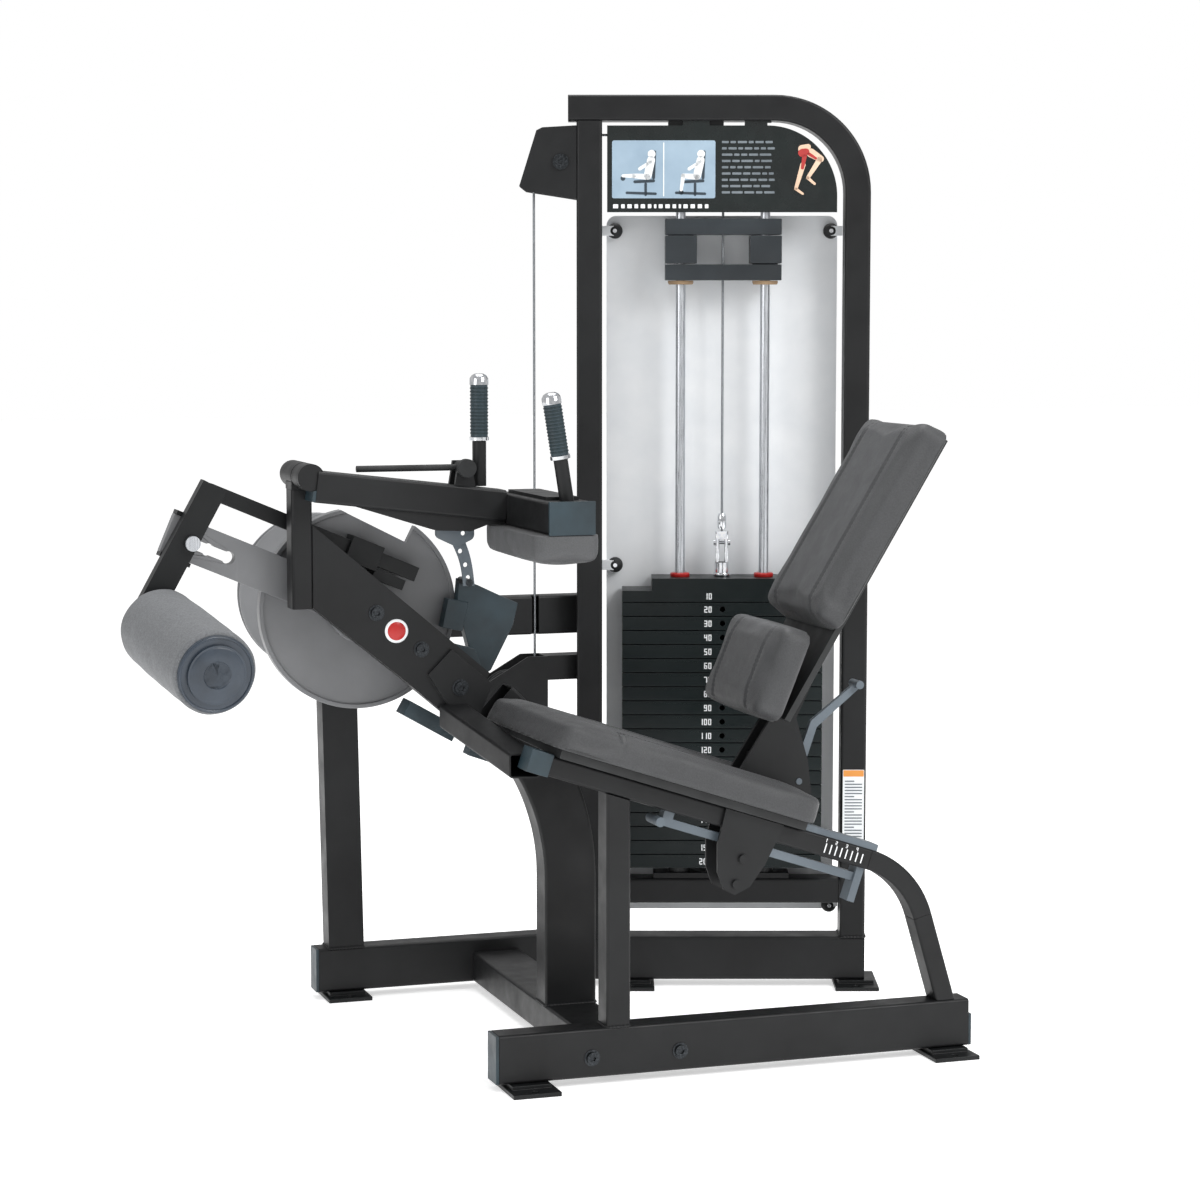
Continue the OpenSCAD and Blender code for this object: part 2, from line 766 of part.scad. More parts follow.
hang_u = pulley_u - pulley_radius;
hang_x = tower_x + hang_u * cos(tower_turn) + stack_v * sin(tower_turn);
hang_y = tower_y - hang_u * sin(tower_turn) + stack_v * cos(tower_turn);
module drive_cable() {
    color("#9a9da1") place() {
        translate([hang_x, hang_y, low_z]) cylinder(h = pulley_z - low_z, r = cable_r, $fn = 16);
        tower_pos() translate([pulley_u, stack_v, pulley_z + pulley_radius]) rotate([0, 90, 0])
            cylinder(h = -pulley_radius - pulley_u, r = cable_r, $fn = 16);
        tower_pos() arc(pulley_u, pulley_z, 90, 90);
        tower_pos() arc(-pulley_radius, pulley_z, 0, 90);
        translate([hang_x - low_x - pulley_radius, hang_y - stack_v, 0]) arc(low_x, low_z, 214.5, 145.5);
        // Run from the low pulley up to the cable cam
        cable_between([low_x - pulley_radius * cos(run_angle), hang_y, low_z - pulley_radius * sin(run_angle)],
            [knee_x + cam_radius * cos(run_angle), cam_y, knee_z + cam_radius * sin(run_angle)]);
    }
}
module cable_between(p, q) {
    d = q - p;
    translate(p) rotate([0, acos(d[2] / norm(d)), atan2(d[1], d[0])]) translate([0, 0, run_gap])
        cylinder(h = norm(d) - 2 * run_gap, r = cable_r, $fn = 16);
}
// Cable round a pulley, which stops a hair short of the straight runs
arc_gap = 0.1;
run_gap = 0.6;
module arc(x, z, start, angle) translate([x, stack_v, z]) rotate([90, 0, 0]) rotate([0, 0, start + arc_gap])
    rotate_extrude(angle = angle - 2 * arc_gap, $fn = 64) translate([pulley_radius, 0]) circle(r = cable_r, $fn = 16);

fork_top = 945;
module stack_cable() {
    color("#9a9da1") tower_frame() translate([0, stack_v, fork_top]) cylinder(h = pulley_z - fork_top, r = cable_r,
        $fn = 16);
}

module pulley(u, v, z) translate([u, v, z]) rotate([90, 0, 0]) difference() {
    union() {
        cylinder(h = pulley_w, r = pulley_radius - cable_r - 0.2, center = true);
        for (side = [-1, 1]) translate([0, 0, side * 8]) cylinder(h = 4, r = pulley_radius + 6, center = true);
    }
    cylinder(h = 60, r = 8.05, center = true);
}
module pulley_left() { color("#1f2122") tower_frame() pulley(pulley_u, stack_v, pulley_z); }
module pulley_right() { color("#1f2122") tower_frame() pulley(-pulley_radius, stack_v, pulley_z); }
module pulley_low() { color("#1f2122") place() pulley(low_x, hang_y, low_z); }

// ---------------------------------------------------------------- weights

module plate_shape(height) difference() {
    translate([-stack_half, stack_v - stack_depth / 2, 0]) cube([2 * stack_half, stack_depth, height]);
    for (side = [-1, 1]) translate([side * rod_u, stack_v, -1]) cylinder(h = height + 2, r = rod_r + 1);
    translate([0, stack_v, -1]) cylinder(h = height + 2, r = 13);
    translate([0, stack_v - stack_depth / 2 - 1, height / 2]) rotate([-90, 0, 0]) cylinder(h = stack_depth / 2, r = 5.5);
}

module plates(first, last) for (k = [first:last]) translate([0, 0, stack_z + k * plate_pitch])
    plate_shape(plate_pitch - plate_gap);

module weights_resting() { color("#0d1b1c") tower_frame() plates(0, split - 1); }
module weights_lifted() { color("#0d1b1c") tower_frame() plates(split, plate_count - 1); }

module head_plate() {
    color("#0d1b1c") tower_frame() {
        difference() {
            union() {
                translate([-stack_half, stack_v - stack_depth / 2, head_z])
                    cube([2 * stack_half, stack_depth, 23]);
                translate([-144, stack_v - stack_depth / 2, head_z + 23]) cube([288, stack_depth, 25]);
            }
            for (side = [-1, 1]) translate([side * rod_u, stack_v, head_z - 1]) cylinder(h = 60, r = rod_r + 1);
        }
        difference() {
            translate([0, stack_v, stack_z + 4]) cylinder(h = head_z - stack_z - 4, r = 11);
            for (k = [0:plate_count - 1]) translate([0, 0, stack_z + (k + 0.5) * plate_pitch - plate_gap / 2])
                rotate([-90, 0, 0]) cylinder(h = 80, r = 5.2);
        }
        translate([0, stack_v, head_z + 48]) cylinder(h = 30, r = 14);
        for (side = [-1, 1]) translate([side * 9 - 3, stack_v - 8, head_z + 78]) cube([6, 16, 50]);
        translate([-12, stack_v - 8, fork_top - 14]) cube([24, 16, 14]);
    }
}

module selector_pin() {
    z = stack_z + (split + 0.5) * plate_pitch - plate_gap / 2;
    color("#b02020") tower_frame() translate([0, stack_v - stack_depth / 2, z]) rotate([-90, 0, 0]) {
        translate([0, 0, -26]) cylinder(h = 26 + stack_depth / 2, r = 4.8);
        translate([0, 0, -34]) cylinder(h = 20, r = 13);
    }
}

addon_z = 1458;
addon_v = stack_v - 30;
module addon_half(side) {
    low = side < 0 ? 92 : 0;
    difference() {
        union() {
            // Cross bar over both rods
            translate([-118, addon_v, addon_z + low]) cube([236, 60, 32]);
            // Tall block on one rod
            translate([side * rod_u - 32, addon_v - 4, addon_z + 34]) cube([64, 68, 56]);
            translate([side * rod_u, stack_v, addon_z + (side < 0 ? 88 : 30)]) cylinder(h = 6, r = 26);
        }
        for (s = [-1, 1]) translate([s * rod_u, stack_v, addon_z - 10]) cylinder(h = 160, r = rod_r + 1);
        translate([0, stack_v, addon_z - 10]) cylinder(h = 160, r = 19);
    }
}
module addon_left() { color("#22272a") tower_frame() addon_half(-1); }
module addon_right() { color("#22272a") tower_frame() addon_half(1); }

front_rail();
rear_rail();
crossmember();
foot_plates();
left_leg();
column();
seat_upright();
seat_frame();
main_beam();
post();
pivot_tube();
tie_tubes();
tube_caps();
frame_bolts();
tower_hoop();
tower_left_upright();
tower_base();
stack_crossbar();
placard();
shroud();
guide_rods();
stack_bumpers();
pulley_housings();
knee_axle();
cam_guard();
seat_pad();
seat_board();
slide_rail();
drive_cable();
stack_cable();
weights_resting();
cam_disc();
cable_cam();
lever_bar();
lever_hub();
link_guide();
roller_carriage();
parallel_link();
adjust_pin();
roller_foam();
roller_core();
thigh_arm();
thigh_beam();
thigh_pad();
handle_grips();
arm_latch();
back_carriage();
back_board();
back_pad();
lumbar_pad();
latch_lever();
head_plate();
weights_lifted();
selector_pin();
addon_left();
addon_right();
pulley_left();
pulley_right();
pulley_low();
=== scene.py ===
"""Looks of the seated leg curl machine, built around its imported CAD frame. Lengths are in metres."""

import json
import math
import random

import bmesh
import bpy
import numpy as np
from mathutils import Matrix, Vector, noise
from mathutils.bvhtree import BVHTree


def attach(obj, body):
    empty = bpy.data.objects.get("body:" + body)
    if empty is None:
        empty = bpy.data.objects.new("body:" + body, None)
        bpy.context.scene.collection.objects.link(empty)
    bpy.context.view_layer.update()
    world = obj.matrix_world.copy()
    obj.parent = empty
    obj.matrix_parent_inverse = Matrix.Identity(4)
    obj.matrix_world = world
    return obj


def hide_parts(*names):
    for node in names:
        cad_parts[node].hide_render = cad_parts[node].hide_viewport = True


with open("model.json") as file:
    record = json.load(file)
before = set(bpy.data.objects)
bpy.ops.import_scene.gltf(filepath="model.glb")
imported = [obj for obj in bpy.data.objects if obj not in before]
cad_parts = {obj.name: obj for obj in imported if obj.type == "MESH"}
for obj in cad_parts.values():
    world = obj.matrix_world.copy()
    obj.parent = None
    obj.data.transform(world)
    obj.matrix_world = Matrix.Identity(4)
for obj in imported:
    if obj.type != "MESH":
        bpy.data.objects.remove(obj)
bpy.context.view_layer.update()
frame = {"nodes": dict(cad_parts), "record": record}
scene = bpy.context.scene
random.seed(7)

# ---------------------------------------------------------------- places
MM = 0.001


def turn(degrees, axis):
    return Matrix.Rotation(math.radians(degrees), 4, axis)


def shift(x, y, z):
    return Matrix.Translation((x * MM, y * MM, z * MM))


TOWER_TURN = -18.5
SEAT_SLOPE = 18.4
BACK_SLOPE = -58.6
LUMBAR_SLOPE = -67.7
PLACE = shift(-204.4, -425, 0)
TOWER = PLACE @ shift(677, 666, 0) @ turn(TOWER_TURN, "Z")
SEAT = PLACE @ shift(105, 0, 607) @ turn(SEAT_SLOPE, "Y")
BACK = PLACE @ shift(560, 0, 640) @ turn(BACK_SLOPE, "Y") @ shift(193, 0, 14.3)
LUMBAR = PLACE @ shift(539, 0, 646) @ turn(LUMBAR_SLOPE, "Y") @ shift(-2, 0, 8)
KNEE = PLACE @ shift(-145, 0, 838)
ROLLER = PLACE @ shift(-541, 384, 827) @ turn(7, "Z") @ turn(98.4, "X") @ shift(0, 0, 14)
# On these, x and y lie in an upright face and z points towards the viewer
TOWER_FACE = TOWER @ turn(90, "X")
SIDE_FACE = PLACE @ turn(90, "X")

# ---------------------------------------------------------------- materials


def linear(hex_colour):
    """The linear colour of an sRGB hex code."""
    parts = [int(hex_colour[i : i + 2], 16) / 255 for i in (1, 3, 5)]
    return [c / 12.92 if c <= 0.04045 else ((c + 0.055) / 1.055) ** 2.4 for c in parts] + [1.0]


class Surface:
    """A material under construction: a Principled shader and helpers that feed it."""

    def __init__(self, name):
        self.material = bpy.data.materials.new(name)
        self.material.use_nodes = True
        self.nodes = self.material.node_tree.nodes
        self.links = self.material.node_tree.links
        self.shader = self.nodes["Principled BSDF"]
        self.place = self.nodes.new("ShaderNodeTexCoord").outputs["Object"]
        self.height = None

    def stretched(self, scale):
        node = self.nodes.new("ShaderNodeMapping")
        node.inputs["Scale"].default_value = scale
        self.links.new(self.place, node.inputs["Vector"])
        return node.outputs["Vector"]

    def noise(self, scale, detail=4.0, vector=None, distortion=0.0):
        node = self.nodes.new("ShaderNodeTexNoise")
        node.inputs["Scale"].default_value = scale
        node.inputs["Detail"].default_value = detail
        node.inputs["Distortion"].default_value = distortion
        self.links.new(vector or self.place, node.inputs["Vector"])
        return node.outputs["Fac"]

    def cells(self, scale, feature="DISTANCE_TO_EDGE"):
        node = self.nodes.new("ShaderNodeTexVoronoi")
        node.feature = feature
        node.inputs["Scale"].default_value = scale
        self.links.new(self.place, node.inputs["Vector"])
        return node.outputs["Distance"]

    def span(self, value, low, high, start=0.3, end=0.7):
        node = self.nodes.new("ShaderNodeMapRange")
        node.inputs["From Min"].default_value = start
        node.inputs["From Max"].default_value = end
        node.inputs["To Min"].default_value = low
        node.inputs["To Max"].default_value = high
        self.links.new(value, node.inputs["Value"])
        return node.outputs["Result"]

    def mix(self, factor, a, b):
        node = self.nodes.new("ShaderNodeMix")
        node.data_type = "RGBA"
        self.links.new(factor, node.inputs["Factor"])
        for colour, socket in ((a, node.inputs[6]), (b, node.inputs[7])):
            if isinstance(colour, str):
                socket.default_value = linear(colour)
            else:
                self.links.new(colour, socket)
        return node.outputs[2]

    def colour(self, output):
        self.links.new(output, self.shader.inputs["Base Color"])

    def roughness(self, value, low, high):
        self.links.new(self.span(value, low, high), self.shader.inputs["Roughness"])

    def bump(self, value, depth, strength=1.0):
        node = self.nodes.new("ShaderNodeBump")
        node.inputs["Strength"].default_value = strength
        node.inputs["Distance"].default_value = depth
        self.links.new(value, node.inputs["Height"])
        if self.height:
            self.links.new(self.height, node.inputs["Normal"])
        self.height = node.outputs["Normal"]
        self.links.new(self.height, self.shader.inputs["Normal"])

    def set(self, **values):
        for name, value in values.items():
            self.shader.inputs[name.replace("_", " ")].default_value = value


def painted(name, dark, light, rough=(0.36, 0.5), grain=0.00012, specular=0.5):
    """Powder coat: slight cloudiness, a fine orange-peel bump and faint handling scuffs."""
    s = Surface(name)
    cloud = s.span(s.noise(5.0, 5.0), 0.0, 1.0)
    base = s.mix(cloud, dark, light)
    scuff = s.span(s.noise(60.0, 6.0, s.stretched((1.0, 1.0, 0.12)), 1.5), 0.0, 0.35, 0.64, 0.74)
    s.colour(s.mix(scuff, base, light))
    s.roughness(s.noise(22.0, 6.0), *rough)
    s.bump(s.noise(900.0, 2.0), grain, 0.5)
    s.bump(s.noise(160.0, 2.0), grain * 2, 0.25)
    s.set(Specular_IOR_Level=specular)
    return s.material


def brushed(name, dark, light, rough=(0.22, 0.36), scale=(300.0, 300.0, 6.0)):
    """Bright steel with fine lines."""
    s = Surface(name)
    lines = s.noise(4.0, 4.0, s.stretched(scale))
    s.colour(s.mix(s.span(lines, 0.0, 1.0), dark, light))
    s.roughness(lines, *rough)
    s.bump(lines, 0.00006, 0.4)
    s.set(Metallic=1.0)
    return s.material


def moulded(name, dark, light, rough=(0.45, 0.6), grain=0.0002, coat=0.0):
    """Moulded plastic or rubber with a stippled skin."""
    s = Surface(name)
    s.colour(s.mix(s.span(s.noise(14.0, 6.0), 0.0, 1.0), dark, light))
    s.roughness(s.noise(40.0, 4.0), *rough)
    s.bump(s.cells(700.0, "F1"), grain, 0.35)
    s.set(Coat_Weight=coat, Coat_Roughness=0.2)
    return s.material


def leather(name, dark, light, cell=620.0):
    """Upholstery vinyl: pebbled grain, soft creases and a slightly worn sheen."""
    s = Surface(name)
    speckle = s.span(s.noise(420.0, 3.0), 0.0, 1.0)
    cloud = s.span(s.noise(9.0, 6.0), 0.0, 0.45)
    base = s.mix(speckle, dark, light)
    s.colour(s.mix(cloud, base, light))
    s.roughness(s.noise(30.0, 6.0), 0.4, 0.56)
    s.bump(s.span(s.cells(cell), 0.0, 1.0, 0.0, 0.25), 0.0003, 0.55)
    s.bump(s.noise(38.0, 6.0, distortion=0.6), 0.0011, 0.35)
    s.set(Sheen_Weight=0.08, Sheen_Roughness=0.5)
    return s.material


def foam(name, dark, light):
    """Closed-cell foam skin: matt, with small pits."""
    s = Surface(name)
    s.colour(s.mix(s.span(s.noise(300.0, 4.0), 0.0, 1.0), dark, light))
    s.roughness(s.noise(60.0, 4.0), 0.68, 0.86)
    s.bump(s.cells(420.0, "F1"), 0.0005, 0.5)
    s.bump(s.noise(30.0, 4.0), 0.001, 0.3)
    s.set(Sheen_Weight=0.12, Sheen_Roughness=0.4)
    return s.material


def wire_rope(name):
    """Steel cable whose strands show as slanting lines."""
    s = Surface(name)
    node = s.nodes.new("ShaderNodeTexWave")
    node.bands_direction = "DIAGONAL"
    node.inputs["Scale"].default_value = 260.0
    node.inputs["Distortion"].default_value = 0.4
    s.links.new(s.place, node.inputs["Vector"])
    s.colour(s.mix(node.outputs["Fac"], "#4c4f52", "#a4a8ac"))
    s.roughness(s.noise(120.0), 0.3, 0.45)
    s.bump(node.outputs["Fac"], 0.0004, 0.7)
    s.set(Metallic=0.9)
    return s.material


MAT = {
    "frame_black": painted("frame_paint", "#141415", "#1c1d1e", specular=0.28),
    "bracket_black": painted("bracket_paint", "#101112", "#191b1c", (0.34, 0.46), specular=0.28),
    "cap_teal": moulded("cap_plastic", "#18252b", "#263840", (0.38, 0.5)),
    "fastener": brushed("fastener_steel", "#26282a", "#4a4d50", (0.3, 0.45), (90.0, 90.0, 90.0)),
    "placard_print": moulded("placard_face", "#050c0c", "#081413", (0.22, 0.3), 0.00005, 0.2),
    "shroud_pale": moulded("shroud_plastic", "#dfe2e5", "#e8eaec", (0.3, 0.42), 0.0001),
    "steel": brushed("rod_steel", "#a9acb1", "#d6d9dd"),
    "rubber_black": moulded("rubber", "#121314", "#1f2122", (0.6, 0.75)),
    "leather": leather("pad_vinyl", "#2b2c2d", "#3e3f41"),
    "board": moulded("board_laminate", "#141516", "#202223", (0.5, 0.62)),
    "silver_grey": painted("silver_paint", "#4c555d", "#656f77", (0.34, 0.46)),
    "weight_iron": painted("plate_paint", "#060e0f", "#0b1718", (0.3, 0.42), 0.0002, 0.3),
    "addon_iron": painted("addon_paint", "#1a1f23", "#2a3136", (0.3, 0.42), 0.0002),
    "lever_grey": painted("lever_paint", "#68696b", "#7c7d7f", (0.34, 0.46)),
    "cam_steel": painted("cam_paint", "#747577", "#88898b", (0.3, 0.42), 0.00008),
    "roller_grey": foam("roller_foam_skin", "#57595b", "#6f7174"),
    "roller_cap": moulded("roller_cap_plastic", "#252d36", "#37414d", (0.3, 0.42)),
    "pad_grey": leather("thigh_vinyl", "#3a3b3c", "#4e4f51"),
    "pin_red": moulded("pin_plastic", "#a31c1c", "#c22a26", (0.25, 0.35)),
    "pulley_nylon": moulded("pulley_nylon", "#17191a", "#26292a", (0.35, 0.5)),
    "chrome": brushed("chrome", "#c9ccd1", "#f0f1f3", (0.08, 0.16), (40.0, 40.0, 40.0)),
    "cable": wire_rope("wire_rope"),
    "print_white": moulded("print_white", "#e3e6e8", "#f2f4f5", (0.4, 0.5), 0.00003),
    "print_blue": moulded("print_blue", "#8ba0b2", "#9db2c2", (0.4, 0.5), 0.00003),
    "print_dark": moulded("print_dark", "#26313a", "#35424d", (0.4, 0.5), 0.00003),
    "print_skin": moulded("print_skin", "#d9b79c", "#e8cbb2", (0.4, 0.5), 0.00003),
    "print_red": moulded("print_red", "#a02a2a", "#bb3a34", (0.4, 0.5), 0.00003),
    "print_orange": moulded("print_orange", "#d98a3a", "#e59a4a", (0.4, 0.5), 0.00003),
    "print_grey": moulded("print_grey", "#5f676d", "#757d83", (0.4, 0.5), 0.00003),
    "grip_rubber": moulded("grip_rubber", "#0f1e21", "#1a2d32", (0.55, 0.7), 0.0004),
    "tan_rubber": moulded("tan_rubber", "#8a7256", "#a58a6a", (0.55, 0.7)),
    "thread": moulded("thread", "#333436", "#4a4b4d", (0.6, 0.75)),
    "welt": leather("welt_vinyl", "#1c1d1e", "#2a2b2c", 900.0),
}

# ---------------------------------------------------------------- CAD nodes
BEVEL = 0.0011
BEVEL_ANGLE = 32
SLOT_OF = {part["node"]: part["material_slot"] for part in frame["record"]["subparts"]}
CABLES = ("drive_cable", "stack_cable")
for node_name, obj in frame["nodes"].items():
    chosen = MAT["cable"] if node_name in CABLES else MAT[SLOT_OF[node_name]]
    obj.data.materials.clear()
    obj.data.materials.append(chosen)
    for face in obj.data.polygons:
        face.use_smooth = True
    if node_name not in CABLES:
        weld = obj.modifiers.new("weld", "WELD")
        weld.merge_threshold = 1e-6
        bevel = obj.modifiers.new("edges", "BEVEL")
        bevel.width = BEVEL
        bevel.segments = 2
        bevel.limit_method = "ANGLE"
        bevel.angle_limit = math.radians(BEVEL_ANGLE)
        normals = obj.modifiers.new("normals", "WEIGHTED_NORMAL")
        normals.weight = 60

# ---------------------------------------------------------------- mesh helpers


def around(count):
    """Angles that share out one full turn."""
    return [2 * math.pi * k / count for k in range(count)]


def round_edges(bm, edges, size, segments):
    bmesh.ops.bevel(bm, geom=edges, offset=size, segments=segments, profile=0.5, affect="EDGES",
        clamp_overlap=True)


class Shape:
    """A mesh under construction. Points are in the frame of its matrix."""

    def __init__(self, matrix):
        self.bm = bmesh.new()
        self.matrix = matrix

    def rings(self, rings, closed=False):
        """Quads between rings of points, with end caps unless the rings close on themselves."""
        rows = [[self.bm.verts.new(p) for p in ring] for ring in rings]
        pairs = list(zip(rows, rows[1:]))
        if closed:
            pairs.append((rows[-1], rows[0]))
        for a, b in pairs:
            for i in range(len(a)):
                j = (i + 1) % len(a)
                self.bm.faces.new((a[i], a[j], b[j], b[i]))
        if not closed:
            self.bm.faces.new(rows[0])
            self.bm.faces.new(rows[-1])
        return self

    def lathe(self, profile, at=Matrix(), sides=40):
        """profile holds (radius, height) pairs about the z axis of the matrix at."""
        return self.rings([
            [at @ Vector((r * math.cos(t), r * math.sin(t), z)) for t in around(sides)] for r, z in profile
        ])

    def tube(self, path, radius, sides=10, closed=False):
        points = [Vector(p) for p in path]
        count = len(points)
        rings = []
        side = None
        for i, p in enumerate(points):
            ahead = points[(i + 1) % count] if closed or i + 1 < count else p
            behind = points[i - 1] if closed or i else p
            along = (ahead - behind).normalized()
            side = along.orthogonal() if side is None else side - along * side.dot(along)
            side.normalize()
            up = along.cross(side)
            rings.append([p + (side * math.cos(t) + up * math.sin(t)) * radius for t in around(sides)])
        return self.rings(rings, closed)

    def plate(self, outline, low, high, edge=0.0):
        """Flat plate with that outline and rounded edges."""
        before = set(self.bm.edges)
        self.rings([[Vector((x, y, z)) for x, y in outline] for z in (low, high)])
        if edge:
            fresh = [e for e in self.bm.edges if e not in before]
            round_edges(self.bm, fresh, edge, 2)
        return self

    def piece(self, name, material, body, slot=None):
        bmesh.ops.recalc_face_normals(self.bm, faces=self.bm.faces)
        self.bm.transform(self.matrix)
        if self.matrix.determinant() < 0:
            bmesh.ops.reverse_faces(self.bm, faces=self.bm.faces)
        mesh = bpy.data.meshes.new(name)
        self.bm.to_mesh(mesh)
        self.bm.free()
        obj = bpy.data.objects.new(name, mesh)
        scene.collection.objects.link(obj)
        mesh.materials.append(MAT[material])
        smooth_by_angle(mesh)
        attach(obj, body)
        return obj


def smooth_by_angle(mesh, degrees=35):
    for face in mesh.polygons:
        face.use_smooth = True
    mesh.set_sharp_from_angle(angle=math.radians(degrees))


def arc(cx, cy, r, start, end, steps=8):
    """Points on an arc, in degrees."""
    angles = [math.radians(start + (end - start) * k / steps) for k in range(steps + 1)]
    return [(cx + r * math.cos(a), cy + r * math.sin(a)) for a in angles]


def round_rect(x0, y0, x1, y1, r, steps=5):
    return (arc(x1 - r, y0 + r, r, -90, 0, steps) + arc(x1 - r, y1 - r, r, 0, 90, steps)
        + arc(x0 + r, y1 - r, r, 90, 180, steps) + arc(x0 + r, y0 + r, r, 180, 270, steps))


def capsule(p, q, r, r_end=None, steps=6):
    """Outline of a limb-like shape from p to q."""
    r_end = r_end or r
    a = math.degrees(math.atan2(q[1] - p[1], q[0] - p[0]))
    return arc(q[0], q[1], r_end, a - 90, a + 90, steps) + arc(p[0], p[1], r, a + 90, a + 270, steps)


def scaled(points, factor=MM):
    return [tuple(c * factor for c in p) for p in points]


def rounded_path(corners, r, steps=6):
    """A polyline whose inner corners are rounded. Points are 2D or 3D."""
    points = [Vector(p) for p in corners]
    out = [points[0]]
    for a, b, c in zip(points, points[1:], points[2:]):
        to_a, to_c = (a - b), (c - b)
        cut = min(r, to_a.length / 2, to_c.length / 2)
        p, q = b + to_a.normalized() * cut, b + to_c.normalized() * cut
        for k in range(steps + 1):
            t = k / steps
            out.append(p * (1 - t) ** 2 + b * 2 * t * (1 - t) + q * t**2)
    return out + [points[-1]]


# ---------------------------------------------------------------- pads


def solid_pad(outline, low, high, inset, corner):
    """Starting shape of a pad: its outline drawn in by inset, extruded, with rounded edges."""
    bm = bmesh.new()
    face = bm.faces.new([bm.verts.new((x, y, low)) for x, y in outline])
    bm.normal_update()
    if face.normal.z < 0:
        bmesh.ops.reverse_faces(bm, faces=[face])
    ring = bmesh.ops.inset_region(bm, faces=[face], thickness=inset, use_even_offset=True)["faces"]
    bmesh.ops.delete(bm, geom=ring, context="FACES")
    grown = bmesh.ops.extrude_face_region(bm, geom=list(bm.faces))["geom"]
    lifted = [g for g in grown if isinstance(g, bmesh.types.BMVert)]
    bmesh.ops.translate(bm, verts=lifted, vec=(0, 0, high - low))
    bmesh.ops.recalc_face_normals(bm, faces=bm.faces)
    rims = [e for e in bm.edges if all(v.co.z > (low + high) / 2 for v in e.verts)]
    round_edges(bm, rims, corner, 4)
    return bm


def evaluated_mesh(obj):
    graph = bpy.context.evaluated_depsgraph_get()
    return bpy.data.meshes.new_from_object(obj.evaluated_get(graph))


def take_mesh(obj):
    """Applies all modifiers of obj."""
    mesh = evaluated_mesh(obj)
    obj.modifiers.clear()
    obj.data = mesh


def read_vectors(items, name):
    """A vector property of all items, one row each."""
    values = np.zeros(len(items) * 3)
    items.foreach_get(name, values)
    return values.reshape(-1, 3)


